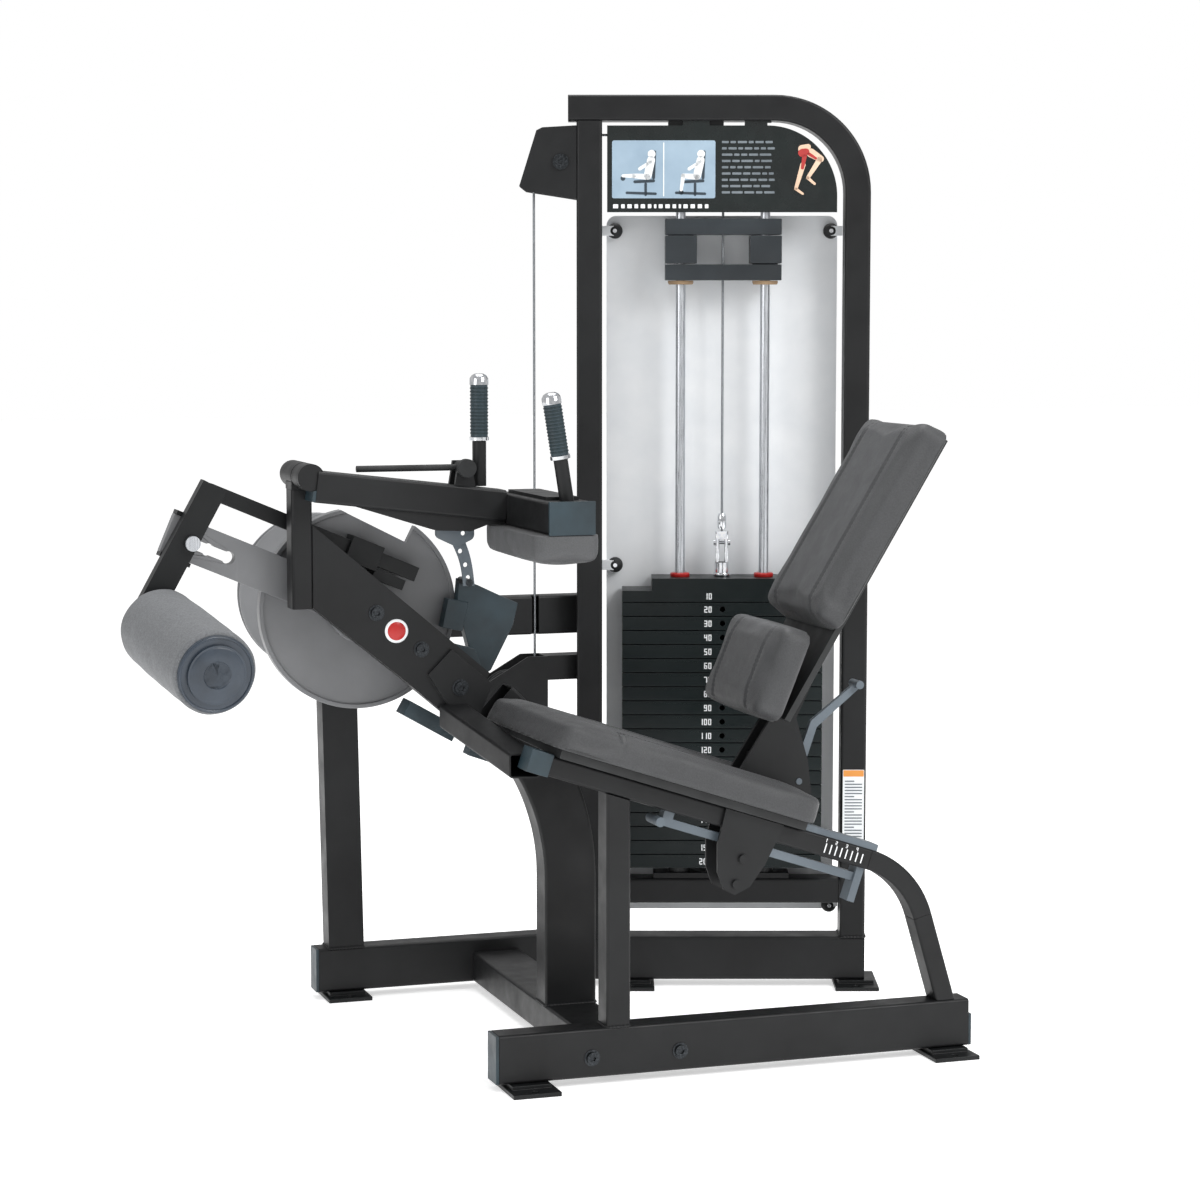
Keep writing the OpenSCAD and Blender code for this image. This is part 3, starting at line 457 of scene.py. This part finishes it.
class Pad:
    """One upholstered pad, in the frame of its matrix with z out of its face."""

    # The start shape is this much smaller than the pad, which then swells
    SIDE_ROOM = 0.005
    TOP_ROOM = 0.007
    # How deep and wide a sewn channel is, and how far its stitches are from its middle
    GROOVE = 0.0028
    GROOVE_WIDTH = 0.0042
    STITCH_ASIDE = 0.0062
    STITCH_PITCH = 0.0085
    STITCH_LENGTH = 0.0052
    # Rounds of averaging that keep the cover free of wrinkles
    TAUT = 14
    FRAMES = 20

    def __init__(self, name, node, body, matrix, outline, low, high, corner=0.014, voxel=0.0055,
            cap=0.009, channels=(), slot="leather"):
        self.name, self.node, self.body, self.matrix = name, node, body, matrix
        self.outline, self.low, self.high, self.cap = outline, low, high, cap
        self.channels, self.slot = channels, slot
        bm = solid_pad(outline, low, high - self.TOP_ROOM, self.SIDE_ROOM, corner)
        mesh = bpy.data.meshes.new(name)
        bm.to_mesh(mesh)
        bm.free()
        self.obj = bpy.data.objects.new(name, mesh)
        scene.collection.objects.link(self.obj)
        remesh = self.obj.modifiers.new("remesh", "REMESH")
        remesh.mode = "VOXEL"
        remesh.voxel_size = voxel
        take_mesh(self.obj)
        self.rest = read_vectors(self.obj.data.vertices, "co")

    def start_cloth(self):
        held = self.obj.vertex_groups.new(name="held")
        held.add([v.index for v in self.obj.data.vertices if v.co.z < self.low + 0.004], 1.0, "REPLACE")
        cloth = self.obj.modifiers.new("cloth", "CLOTH")
        s = cloth.settings
        s.quality = 5
        s.mass = 0.3
        s.tension_stiffness = 12
        s.compression_stiffness = 12
        s.shear_stiffness = 5
        s.bending_stiffness = 4.0
        s.use_pressure = True
        s.uniform_pressure_force = 4.0
        s.vertex_group_mass = "held"
        s.effector_weights.gravity = 0.0
        cloth.collision_settings.use_collision = False

    def finish(self):
        if self.obj.modifiers:
            take_mesh(self.obj)
        self.settle()
        fine = self.obj.modifiers.new("fine", "SUBSURF")
        fine.levels = fine.render_levels = 1
        take_mesh(self.obj)
        self.cut_channels()
        self.obj.data.transform(self.matrix)
        self.obj.data.materials.clear()
        self.obj.data.materials.append(MAT[self.slot])
        for face in self.obj.data.polygons:
            face.use_smooth = True
        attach(self.obj, self.body)
        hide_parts(self.node)
        self.add_welt()
        self.add_stitches()

    def settle(self):
        """Evens out how far the cover has moved, so that it stays taut, and limits it to the cap."""
        mesh = self.obj.data
        places = read_vectors(mesh.vertices, "co")
        edges = np.zeros(len(mesh.edges) * 2, dtype=int)
        mesh.edges.foreach_get("vertices", edges)
        a, b = edges.reshape(-1, 2).T
        links = 1 + np.bincount(a, minlength=len(places)) + np.bincount(b, minlength=len(places))
        move = places - self.rest
        for _ in range(self.TAUT):
            total = move.copy()
            np.add.at(total, a, move[b])
            np.add.at(total, b, move[a])
            move = total / links[:, None]
        length = np.linalg.norm(move, axis=1)
        move *= np.minimum(1, self.cap / np.maximum(length, 1e-9))[:, None]
        places = self.rest + move
        places[:, 2] = np.maximum(places[:, 2], self.low)
        mesh.vertices.foreach_set("co", places.ravel())
        mesh.update()

    def cut_channels(self):
        """Presses the sewn channels into the pad's face."""
        mesh = self.obj.data
        places = read_vectors(mesh.vertices, "co")
        facing = read_vectors(mesh.vertices, "normal")[:, 2] > 0.25
        depth = np.zeros(len(places))
        for path in self.channels:
            away = distance_to(path, places[:, :2]) / self.GROOVE_WIDTH
            depth += self.GROOVE * np.exp(-(away**2))
        places[:, 2] -= np.where(facing, np.minimum(depth, self.GROOVE), 0)
        mesh.vertices.foreach_set("co", places.ravel())
        mesh.update()

    def add_welt(self):
        """Welt cord round the pad's lower edge."""
        inner = [Vector((x, y, self.low + 0.0035)) for x, y in shrunk(self.outline, 0.0045)]
        Shape(self.matrix).tube(inner, 0.0024, 8, closed=True).piece(
            self.name + "_welt", "welt", self.body, self.slot
        )

    def add_stitches(self):
        """Short stitches on both sides of each channel, laid on the pad's surface."""
        if not self.channels:
            return
        tree = BVHTree.FromObject(self.obj, bpy.context.evaluated_depsgraph_get())
        shape = Shape(Matrix())
        up = (self.matrix.to_3x3() @ Vector((0, 0, 1))).normalized()
        for path in self.channels:
            run = resampled(path, self.STITCH_PITCH)
            for p, q in zip(run, run[1:]):
                along = (q - p).normalized()
                across = Vector((-along.y, along.x, 0))
                for side in (-1, 1):
                    centre = p + across * side * self.STITCH_ASIDE
                    ends = []
                    for t in (-0.5, 0.0, 0.5):
                        spot = (centre + along * self.STITCH_LENGTH * t).xy
                        above = self.matrix @ Vector((*spot, self.high + 0.03))
                        hit, normal, _, _ = tree.ray_cast(above, -up)
                        if hit is None or normal.dot(up) < 0.35:
                            break
                        ends.append(hit + normal * (0.0005 if t == 0 else 0.0))
                    if len(ends) == 3:
                        shape.tube(ends, 0.00055, 6)
        if shape.bm.verts:
            shape.piece(self.name + "_stitches", "thread", self.body, self.slot)


def distance_to(path, points):
    """Distance of each 2D point to a polyline."""
    best = np.full(len(points), 1.0)
    for a, b in zip(path, path[1:]):
        start, run = np.array(a.xy), np.array((b - a).xy)
        t = np.clip((points - start) @ run / (run @ run), 0, 1)
        best = np.minimum(best, np.linalg.norm(points - start - np.outer(t, run), axis=1))
    return best


def resampled(path, step):
    """Points every step along a polyline."""
    out, carry = [path[0].copy()], 0.0
    for a, b in zip(path, path[1:]):
        length = (b - a).length
        t = step - carry
        while t <= length:
            out.append(a.lerp(b, t / length))
            t += step
        carry = length - (t - step)
    return out


def shrunk(outline, amount):
    """The outline drawn in by an amount."""
    points = [Vector(p) for p in outline]
    area = sum(a.x * b.y - b.x * a.y for a, b in zip(points, points[1:] + points[:1]))
    sign = 1 if area > 0 else -1
    out = []
    for a, b, c in zip(points[-1:] + points[:-1], points, points[1:] + points[:1]):
        n1 = Vector((-(b - a).y, (b - a).x)).normalized() * sign
        n2 = Vector((-(c - b).y, (c - b).x)).normalized() * sign
        mid = (n1 + n2).normalized()
        out.append(b + mid * amount / max(0.4, mid.dot(n1)))
    return out


def channel(corners, r):
    return [Vector((p[0], p[1], 0)) for p in rounded_path([(x * MM, y * MM) for x, y in corners], r * MM)]


def smooth_outline(corners, r):
    """A closed outline with rounded corners."""
    count = len(corners)
    out = []
    for i in range(count):
        a, b, c = (Vector(corners[(i + k) % count]) for k in (-1, 0, 1))
        radius = r[i] if isinstance(r, (list, tuple)) else r
        cut = min(radius, (a - b).length / 2.01, (c - b).length / 2.01)
        p, q = b + (a - b).normalized() * cut, b + (c - b).normalized() * cut
        for k in range(7):
            t = k / 6
            out.append(tuple(p * (1 - t) ** 2 + b * 2 * t * (1 - t) + q * t**2))
    return out


def straight_seams(start, end):
    """The two seams that run up a back pad."""
    return [channel([(start, across), (end, across)], 1) for across in (46, 214)]


# The seat has a notch at its rear end, where the back's carriage slides
SEAT_CORNERS = [(-6, -30), (520, -30), (520, 92), (296, 92), (296, 168), (520, 168), (520, 310),
    (-50, 310), (-56, 190)]
SEAT_RADII = [30, 34, 14, 16, 16, 14, 34, 26, 40]
SEAT_SEAMS = [channel([(112, -26), (112, 44), (512, 44)], 60),
    channel([(112, 306), (112, 220), (512, 220)], 60)]
THIGH_TOP = PLACE @ shift(132, 328, 973 + 28.5) @ turn(180, "X")
PADS = [
    Pad("seat_cushion", "seat_pad", "root", SEAT, scaled(smooth_outline(SEAT_CORNERS, SEAT_RADII)),
        0.0163, 0.0703, channels=SEAT_SEAMS),
    Pad("back_cushion", "back_pad", "backrest", BACK, scaled(round_rect(0, -15, 424, 275, 30)),
        0.0, 0.06, channels=straight_seams(12, 412)),
    Pad("lumbar_cushion", "lumbar_pad", "backrest", LUMBAR, scaled(round_rect(0, -15, 176, 275, 28)),
        0.0, 0.06, channels=straight_seams(10, 166)),
    Pad("thigh_cushion", "thigh_pad", "thigh_frame", THIGH_TOP, scaled(round_rect(-61, 0, 61, 326, 18)),
        0.0, 0.057, corner=0.02, voxel=0.005, cap=0.01, slot="pad_grey"),
]
for pad in PADS:
    pad.start_cloth()
for number in range(1, Pad.FRAMES + 1):
    scene.frame_set(number)
for pad in PADS:
    pad.finish()
scene.frame_set(1)

# ---------------------------------------------------------------- roller


def roller_cushion():
    """Foam sleeve with soft ends and a faintly uneven skin."""
    radius, low, high, bore = 0.075, 0.012, 0.340, 0.032
    back, front, crown, dents = 0.012, 0.008, 0.0012, 0.0009
    steps = 60
    length = high - low - back - front
    profile = [(bore, low + 0.002)]
    for a in (math.pi / 2 * k / 8 for k in range(9)):
        profile.append((radius - back + back * math.sin(a), low + back - back * math.cos(a)))
    for k in range(1, steps):
        swell = crown * math.sin(math.pi * k / steps)
        profile.append((radius + swell, low + back + length * k / steps))
    for a in (math.pi / 2 * k / 6 for k in range(7)):
        profile.append((radius - front + front * math.cos(a), high - front + front * math.sin(a)))
    profile.append((bore, high - 0.0005))
    rings = []
    for r, z in profile:
        ring = []
        for t in around(96):
            c, s = math.cos(t), math.sin(t)
            dent = dents * noise.noise(Vector((3 * c, 3 * s, z * 22))) if r > 0.05 else 0.0
            ring.append(Vector(((r + dent) * c, (r + dent) * s, z)))
        rings.append(ring)
    obj = Shape(ROLLER).rings(rings, closed=True).piece(
        "roller_cushion", "roller_grey", "roller", "roller_grey")
    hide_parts("roller_foam")


roller_cushion()
DISC_PROFILE = [(0.0001, 0.351), (0.024, 0.351), (0.0255, 0.3525), (0.047, 0.3525), (0.0495, 0.351),
    (0.0495, 0.3495), (0.0001, 0.3495)]
Shape(ROLLER).lathe(DISC_PROFILE, sides=64).piece("roller_end_disc", "roller_cap", "roller", "roller_cap")
BEAD_RADIUS, BEAD_Z = 0.0655, 0.3452
bead_ring = [(BEAD_RADIUS * math.cos(t), BEAD_RADIUS * math.sin(t), BEAD_Z) for t in around(72)]
Shape(ROLLER).tube(bead_ring, 0.0022, 8, closed=True).piece(
    "roller_cap_bead", "roller_cap", "roller", "roller_cap")

# ---------------------------------------------------------------- tower prints

PLACARD_FACE = -0.010
INK = 0.0005


def ink(name, outlines, material, face=PLACARD_FACE, matrix=TOWER_FACE, body="root", slot="placard_print"):
    shape = Shape(matrix)
    for outline in outlines:
        shape.plate(scaled(outline), face - 0.0002, face + INK)
    return shape.piece(name, material, body, slot)


def seated_figure(u, bent):
    """Generic seated person: head, body, arm, thigh and shin as rounded bars."""
    head = [arc(u + 26, 1712, 8, 0, 330, 14)]
    shin_end = (u - 32, 1668) if not bent else (u - 14, 1640)
    limbs = [
        capsule((u + 25, 1700), (u + 18, 1668), 8),
        capsule((u + 24, 1696), (u + 2, 1682), 3.4),
        capsule((u + 18, 1666), (u - 10, 1668), 6, 4.6),
        capsule((u - 10, 1668), shin_end, 4.2, 3),
    ]
    gear = [
        capsule((u + 32, 1716), (u + 30, 1664), 3),
        capsule((u + 30, 1658), (u - 8, 1656), 3),
        capsule((u + 14, 1652), (u + 14, 1630), 2.6),
        capsule((u - 24, 1634), (u + 34, 1632), 2.6),
        arc(shin_end[0], shin_end[1] - 5, 5, 0, 330, 10),
    ]
    return head + limbs, gear


ink("placard_panel", [round_rect(-226, 1623, -17, 1739, 4)], "print_blue")
figures, machines = [], []
for centre, bent in ((-172, False), (-72, True)):
    parts = seated_figure(centre, bent)
    figures += parts[0]
    machines += parts[1]
ink("placard_machines", machines, "print_dark", PLACARD_FACE + 0.0004)
ink("placard_figures", figures, "print_white", PLACARD_FACE + 0.0007)
ink("placard_divider", [round_rect(-122.5, 1627, -120.5, 1735, 0.8)], "print_white", PLACARD_FACE + 0.0004)
TEXT_TOP, TEXT_PITCH, TEXT_RIGHT = 1738, 12.6, 103
rows = []
for k in range(9):
    z = TEXT_TOP - k * TEXT_PITCH
    start = -4
    while start < 96:
        length = random.uniform(9, 24)
        end = min(start + length, TEXT_RIGHT)
        rows.append(round_rect(start, z - 4.6, end, z, 1.2, 2))
        start = end + 3.4
ink("placard_bars", rows, "print_grey")
title = []
start = -224
for length in (13, 9, 11, 9, 11, 9, 6, 10, 11, 9, 6, 11, 11, 11, 9):
    title.append(round_rect(start, 1603, start + length * 0.8, 1611, 1, 2))
    start += length + 3.5
ink("placard_title_bars", title, "print_white")
ink("placard_leg_figure", [
    capsule((158, 1722), (170, 1726), 8, 6),
    capsule((176, 1714), (196, 1702), 9, 6.5),
    capsule((194, 1701), (170, 1664), 5.5, 3.6),
    capsule((170, 1664), (184, 1652), 3.2, 2.4),
    capsule((160, 1690), (146, 1642), 5.5, 3.4),
    capsule((146, 1642), (160, 1632), 3, 2.2),
], "print_skin", PLACARD_FACE + 0.0002)
ink("placard_muscle_mark", [
    capsule((158, 1714), (166, 1716), 8, 7),
    capsule((163, 1706), (159, 1684), 4.6, 3.2),
    capsule((172, 1712), (186, 1703), 3.2, 2.4),
], "print_red", PLACARD_FACE + 0.0006)

UPRIGHT_FACE = 0.0
ink("upright_label", [round_rect(250, 293, 294, 455, 2)], "print_white", UPRIGHT_FACE, slot="shroud_pale")
ink("upright_label_top", [round_rect(251, 441, 293, 454, 1.5)], "print_orange", UPRIGHT_FACE + 0.0004,
    slot="shroud_pale")
label_bars = []
for k in range(21):
    width = 36 if k % 5 else 36 * 0.55
    z = 430 - k * 6.4
    label_bars.append(round_rect(254, z, 254 + width, 432.4 - k * 6.4, 0.8, 2))
ink("upright_label_bars", label_bars, "print_grey", UPRIGHT_FACE + 0.0004, slot="shroud_pale")

# ---------------------------------------------------------------- weight stack

SEGMENTS = {"0": "abcdef", "1": "bc", "2": "abged", "3": "abgcd", "4": "fgbc", "5": "afgcd", "6": "afgedc",
    "7": "abc", "8": "abcdefg", "9": "abcdfg"}


def digit(char, x, y, w, h, t):
    """Seven-bar numeral with its lower left corner at x, y."""
    right, top, middle = x + w, y + h, y + h / 2
    bars = {
        "a": (x, y + h - t, right, top),
        "b": (x + w - t, middle, right, top),
        "c": (x + w - t, y, right, middle),
        "d": (x, y, right, y + t),
        "e": (x, y, x + t, middle),
        "f": (x, middle, x + t, top),
        "g": (x, y + h / 2 - t / 2, right, y + h / 2 + t / 2),
    }
    return [round_rect(*bars[k], t * 0.3, 1) for k in SEGMENTS[char]]


STACK_FACE = 0.015
PITCH, STACK_Z, COUNT, SPLIT = 29, 253, 19, 13
DIGIT_W, DIGIT_H, DIGIT_T, DIGIT_STEP = 6.4, 13, 2.0, 8.6


def plate_numbers(name, first, last, body, head=False):
    outlines = []
    for k in range(first, last + 1):
        text = str(10 * (COUNT - k + 1))
        x = -20 - DIGIT_STEP * len(text)
        for char in text:
            outlines += digit(char, x, STACK_Z + k * PITCH + 7, DIGIT_W, DIGIT_H, DIGIT_T)
            x += DIGIT_STEP
    if head:
        for char, x in (("1", -37), ("0", -28.4)):
            outlines += digit(char, x, STACK_Z + COUNT * PITCH + 5, DIGIT_W, DIGIT_H, DIGIT_T)
    ink(name, outlines, "print_white", STACK_FACE, body=body, slot="weight_iron")


plate_numbers("numbers_resting", 0, SPLIT - 1, "root")
plate_numbers("numbers_lifted", SPLIT, COUNT - 1, "stack", head=True)

ROD_U, ROD_V = 86, 35
HEAD_TOP = STACK_Z + COUNT * PITCH + 48
for side, name in ((-1, "left"), (1, "right")):
    at = TOWER @ shift(side * ROD_U, ROD_V, HEAD_TOP)
    Shape(at).lathe([(0.0118, 0.0), (0.019, 0.0), (0.020, 0.0015), (0.020, 0.006), (0.0185, 0.008),
        (0.0118, 0.008)], sides=36).piece("rod_bush_" + name, "pin_red", "stack", "pin_red")
fork = TOWER @ shift(0, ROD_V, HEAD_TOP + 30)
Shape(fork).lathe([(0.003, 0.068), (0.0075, 0.068), (0.009, 0.072), (0.009, 0.094), (0.0065, 0.1),
    (0.003, 0.1)], sides=24).piece("cable_socket", "chrome", "stack", "steel")
Shape(fork @ turn(90, "Y")).lathe([(0.0001, -0.017), (0.006, -0.017), (0.006, -0.013), (0.0035, -0.013),
    (0.0035, 0.013), (0.006, 0.013), (0.006, 0.017), (0.0001, 0.017)], shift(-40, 0, 0), 20).piece(
    "fork_pin", "chrome", "stack", "steel")
clevis = Shape(TOWER @ shift(0, ROD_V, HEAD_TOP))
clevis.lathe([(0.0001, 0.0005), (0.0165, 0.0005), (0.0175, 0.002), (0.0175, 0.007), (0.0165, 0.0085),
    (0.0145, 0.0085), (0.0145, 0.0295), (0.0001, 0.0295)], sides=36)
clevis.plate(scaled(round_rect(-13.2, -9.2, 13.2, 9.2, 3)), 0.0776, 0.0936, 0.001)
for x0, x1 in ((-12.8, -5.2), (5.2, 12.8)):
    clevis.plate(scaled(round_rect(x0, -9, x1, 9, 2)), 0.029, 0.079, 0.0008)
clevis.piece("cable_clevis", "chrome", "stack", "steel")
ADDON_Z = 1458
for side, name in ((-1, "left"), (1, "right")):
    at = TOWER @ shift(side * ROD_U, ROD_V, ADDON_Z - 0.5)
    Shape(at).lathe([(0.0125, -0.008), (0.024, -0.008), (0.026, -0.005), (0.026, -0.0003), (0.0125, -0.0003)],
        sides=36).piece("addon_buffer_" + name, "tan_rubber", "addon_b", "addon_iron")

# Round-headed screws that hold the shroud
for k, (u, z) in enumerate([(-220, 1559), (223, 1559), (-219, 872), (229, 157)]):
    at = TOWER_FACE @ shift(u, z, -92)
    Shape(at).lathe([(0.0001, 0.024), (0.006, 0.0235), (0.0115, 0.021), (0.015, 0.0165), (0.016, 0.011),
        (0.013, 0.007), (0.0085, 0.005), (0.0085, 0.0), (0.0001, 0.0)], sides=36).piece(
        f"shroud_knob_{k}", "rubber_black", "root", "rubber_black")
    Shape(at).lathe([(0.0001, 0.0246), (0.0042, 0.0246), (0.0042, 0.0236), (0.0001, 0.0236)], sides=24).piece(
        f"shroud_screw_{k}", "chrome", "root", "fastener")

# ---------------------------------------------------------------- handles

RING_PROFILE = [(0.0165, 0.0), (0.0185, 0.001), (0.0185, 0.007), (0.0165, 0.008), (0.0135, 0.008),
    (0.0135, 0.0)]
CAP_PROFILE = [(0.0001, 0.021), (0.008, 0.0205), (0.0135, 0.0175), (0.0172, 0.012), (0.0176, 0.0),
    (0.0001, 0.0)]
RIBS = 14
HANDLES = {
    "far": (PLACE @ shift(54, 300, 1166), 96),
    "near": (PLACE @ shift(143, 46, 1060) @ turn(-9, "Y") @ shift(0, 0, 84), 92),
}
for name, (base, length) in HANDLES.items():
    Shape(base @ shift(0, 0, -8)).lathe(RING_PROFILE).piece(
        f"handle_ring_{name}", "chrome", "thigh_frame", "steel")
    Shape(base @ shift(0, 0, length)).lathe(CAP_PROFILE).piece(
        f"handle_cap_{name}", "chrome", "thigh_frame", "steel")
    sleeve = Shape(base)
    for k in range(1, RIBS + 1):
        z = (length * k / (RIBS + 1)) * MM
        sleeve.lathe([(0.0158, z - 0.0016), (0.0171, z - 0.0008), (0.0171, z + 0.0008),
            (0.0158, z + 0.0016)], sides=32)
    sleeve.piece(f"grip_ribs_{name}", "grip_rubber", "thigh_frame", "cap_teal")

# ---------------------------------------------------------------- brackets and small parts


def perforated(name, outline, holes, low, high, material, body, slot, matrix=SIDE_FACE):
    """Plate with round holes through it."""
    shape = Shape(matrix)
    shape.plate(scaled(outline), low, high, 0.0006)
    obj = shape.piece(name, material, body, slot)
    cutter = Shape(matrix)
    for x, y, r in holes:
        cutter.plate(scaled(arc(x, y, r, 0, 360 - 360 / 28, 27)), low - 0.01, high + 0.01)
    bmesh.ops.recalc_face_normals(cutter.bm, faces=cutter.bm.faces)
    cutter.bm.transform(matrix)
    mesh = bpy.data.meshes.new(name + "_cutter")
    cutter.bm.to_mesh(mesh)
    cutter.bm.free()
    tool = bpy.data.objects.new(name + "_cutter", mesh)
    scene.collection.objects.link(tool)
    cut = obj.modifiers.new("holes", "BOOLEAN")
    cut.operation = "DIFFERENCE"
    cut.object = tool
    bpy.context.view_layer.update()
    take_mesh(obj)
    bpy.data.objects.remove(tool)
    smooth_by_angle(obj.data)
    return obj


BRACKET_Y, BRACKET_T, STRAP_T = 334, 6, 5
BRACKET_CORNERS = [(-18, 1028), (-22, 978), (20, 958), (54, 974), (52, 1028)]
BRACKET_HOLES = [(30, 1004, 8), (32, 984, 4.5), (-4, 996, 4.5)]
perforated("stop_bracket", smooth_outline(BRACKET_CORNERS, 8), BRACKET_HOLES,
    -(BRACKET_Y + BRACKET_T) * MM, -BRACKET_Y * MM, "silver_grey", "root", "silver_grey")
STRAP_OUTER = [(36, 972), (46, 946), (52, 918), (56, 884)]
STRAP_INNER = [(34, 884), (31, 914), (25, 938), (14, 962)]
STRAP_HOLES = [(28, 950, 4.5), (38, 924, 4.5), (43, 900, 4.5)]
strap = [tuple(p) for edge in (STRAP_OUTER, STRAP_INNER) for p in rounded_path(edge, 12)]
perforated("stop_strap", strap, STRAP_HOLES, -(BRACKET_Y + BRACKET_T + STRAP_T) * MM,
    -(BRACKET_Y + BRACKET_T) * MM, "silver_grey", "root", "silver_grey")
Shape(SIDE_FACE @ shift(45, 890, -400)).lathe([(0.0001, 0.0), (0.007, 0.0), (0.007, 0.062), (0.0001, 0.062)],
    sides=24).piece("stop_spacer", "fastener", "root", "fastener")

badge = SIDE_FACE @ shift(-99, 805, -330)
Shape(badge).lathe([(0.0001, 0.0045), (0.010, 0.0042), (0.016, 0.003), (0.019, 0.0012), (0.0195, -0.0005),
    (0.0001, -0.0005)], sides=48).piece("beam_badge", "pin_red", "root", "pin_red")
Shape(badge).lathe([(0.0185, 0.0022), (0.0205, 0.0024), (0.0222, 0.0014), (0.0224, -0.0005),
    (0.0185, -0.0005)], sides=48).piece("beam_badge_rim", "print_white", "root", "shroud_pale")

# Cable that lies in the cam's groove
CAM_RADIUS, CAM_Y = 0.150, 786
wrap = [(CAM_RADIUS * math.cos(t), CAM_Y * MM, CAM_RADIUS * math.sin(t)) for t in around(120)]
Shape(KNEE).tube(wrap, 0.0024, 8, closed=True).piece("cam_cable", "cable", "lever", "steel")

# ---------------------------------------------------------------- weld beads


def bead(name, matrix, w, h, r, radius=0.0028):
    """Weld bead round a rectangular tube's end, with the ripples of a hand weld."""
    loop = [Vector((x, y, 0)) for x, y in scaled(round_rect(-w / 2, -h / 2, w / 2, h / 2, r))]
    run = resampled(loop + [loop[0]], 0.0016)[:-1]
    shape = Shape(matrix)
    count = len(run)
    rings = []
    for i, p in enumerate(run):
        along = (run[(i + 1) % count] - run[i - 1]).normalized()
        out = along.cross(Vector((0, 0, 1)))
        size = radius * (1 + 0.16 * math.sin(i * 1.45))
        rings.append([p + (out * math.cos(a) + Vector((0, 0, 1)) * math.sin(a)) * size for a in around(8)])
    shape.rings(rings, closed=True).piece(name, "frame_black", "root", "frame_black")


RAIL_TOP = 105
# Each weld: the tube's end, its width, its depth and its corner radius
WELDS = {
    "seat_upright": (PLACE @ shift(227, 29, RAIL_TOP), 46, 54, 7),
    "column": (PLACE @ shift(236, 343, 77), 102, 62, 7),
    "left_leg": (PLACE @ shift(-82.5, 838, RAIL_TOP), 73, 52, 3),
    "tower_left": (TOWER @ shift(-272, 35, RAIL_TOP), 52, 70, 7),
    "tower_right": (TOWER @ shift(272, 35, RAIL_TOP), 52, 70, 7),
    "crossmember": (PLACE @ shift(236, 56, 46) @ turn(90, "X"), 102, 62, 7),
    "crossbar_left": (TOWER @ shift(-246, 35, 200.5) @ turn(90, "Y"), 51, 60, 7),
    "crossbar_right": (TOWER @ shift(246, 35, 200.5) @ turn(90, "Y"), 51, 60, 7),
}
for name, weld in WELDS.items():
    bead("weld_" + name, *weld)

# ---------------------------------------------------------------- scale on the slide rail
marks = []
RAIL_SIDE = SEAT @ turn(90, "X")
MARK_X, MARK_STEP, MARK_W = 560, 11, 2.2
for x in (MARK_X + MARK_STEP * k for k in range(8)):
    marks.append(round_rect(x, -30, x + MARK_W, -12, 0.6, 2))
for k in range(4):
    marks += digit(str(k + 1), MARK_X - 4 + 2 * MARK_STEP * k, -10, 4, 7, 1.2)
ink("rail_scale", marks, "print_white", -0.004, RAIL_SIDE, slot="frame_black")

# ---------------------------------------------------------------- stage, light, camera


FLOOR_GLOW = 0.52
WORLD_AS_LIGHT = 0.55
LENS, SENSOR = 90, 36
CAMERA_PLACE = (-1.7053, -5.4789, 1.418)
CAMERA_TILT, CAMERA_HEADING = 5.71, -18.5


def area_light(name, place, target, size, watts):
    data = bpy.data.lights.new(name, "AREA")
    data.shape = "RECTANGLE"
    data.size, data.size_y = size
    data.energy = watts
    obj = bpy.data.objects.new(name, data)
    obj.location = place
    obj.rotation_euler = (Vector(target) - Vector(place)).to_track_quat("-Z", "Y").to_euler()
    scene.collection.objects.link(obj)


def studio():
    s = Surface("studio_floor")
    s.colour(s.mix(s.span(s.noise(1.2), 0.0, 1.0), "#fafafa", "#fdfdfd"))
    s.roughness(s.noise(3.0), 0.7, 0.8)
    s.set(Emission_Color=(1, 1, 1, 1), Emission_Strength=FLOOR_GLOW)
    mesh = bpy.data.meshes.new("floor")
    bm = bmesh.new()
    bmesh.ops.create_grid(bm, x_segments=2, y_segments=2, size=30)
    bm.to_mesh(mesh)
    bm.free()
    mesh.materials.append(s.material)
    floor = bpy.data.objects.new("floor", mesh)
    scene.collection.objects.link(floor)
    world = bpy.data.worlds.new("studio_world")
    scene.world = world
    world.use_nodes = True
    # The backdrop is white to the eye, and dimmer as a light
    background = world.node_tree.nodes["Background"]
    background.inputs["Color"].default_value = (1, 1, 1, 1)
    rays = world.node_tree.nodes.new("ShaderNodeLightPath")
    seen = world.node_tree.nodes.new("ShaderNodeMapRange")
    seen.inputs["To Min"].default_value = WORLD_AS_LIGHT
    seen.inputs["To Max"].default_value = 1.0
    world.node_tree.links.new(rays.outputs["Is Camera Ray"], seen.inputs["Value"])
    world.node_tree.links.new(seen.outputs["Result"], background.inputs["Strength"])
    area_light("key", (2.6, -4.2, 4.2), (0, 0, 0.8), (2.6, 2.6), 200)
    area_light("fill", (-4.6, -2.2, 2.4), (0, 0, 0.9), (2.4, 3.0), 60)
    area_light("top", (0.2, 0.6, 4.6), (0, 0, 0.8), (2.6, 2.6), 110)


def camera():
    data = bpy.data.cameras.new("camera")
    data.lens = LENS
    data.sensor_width = SENSOR
    data.clip_end = 100
    obj = bpy.data.objects.new("camera", data)
    obj.location = CAMERA_PLACE
    obj.rotation_euler = (math.radians(90 - CAMERA_TILT), 0, math.radians(CAMERA_HEADING))
    scene.collection.objects.link(obj)
    scene.camera = obj


studio()
camera()
scene.view_settings.view_transform = "Standard"
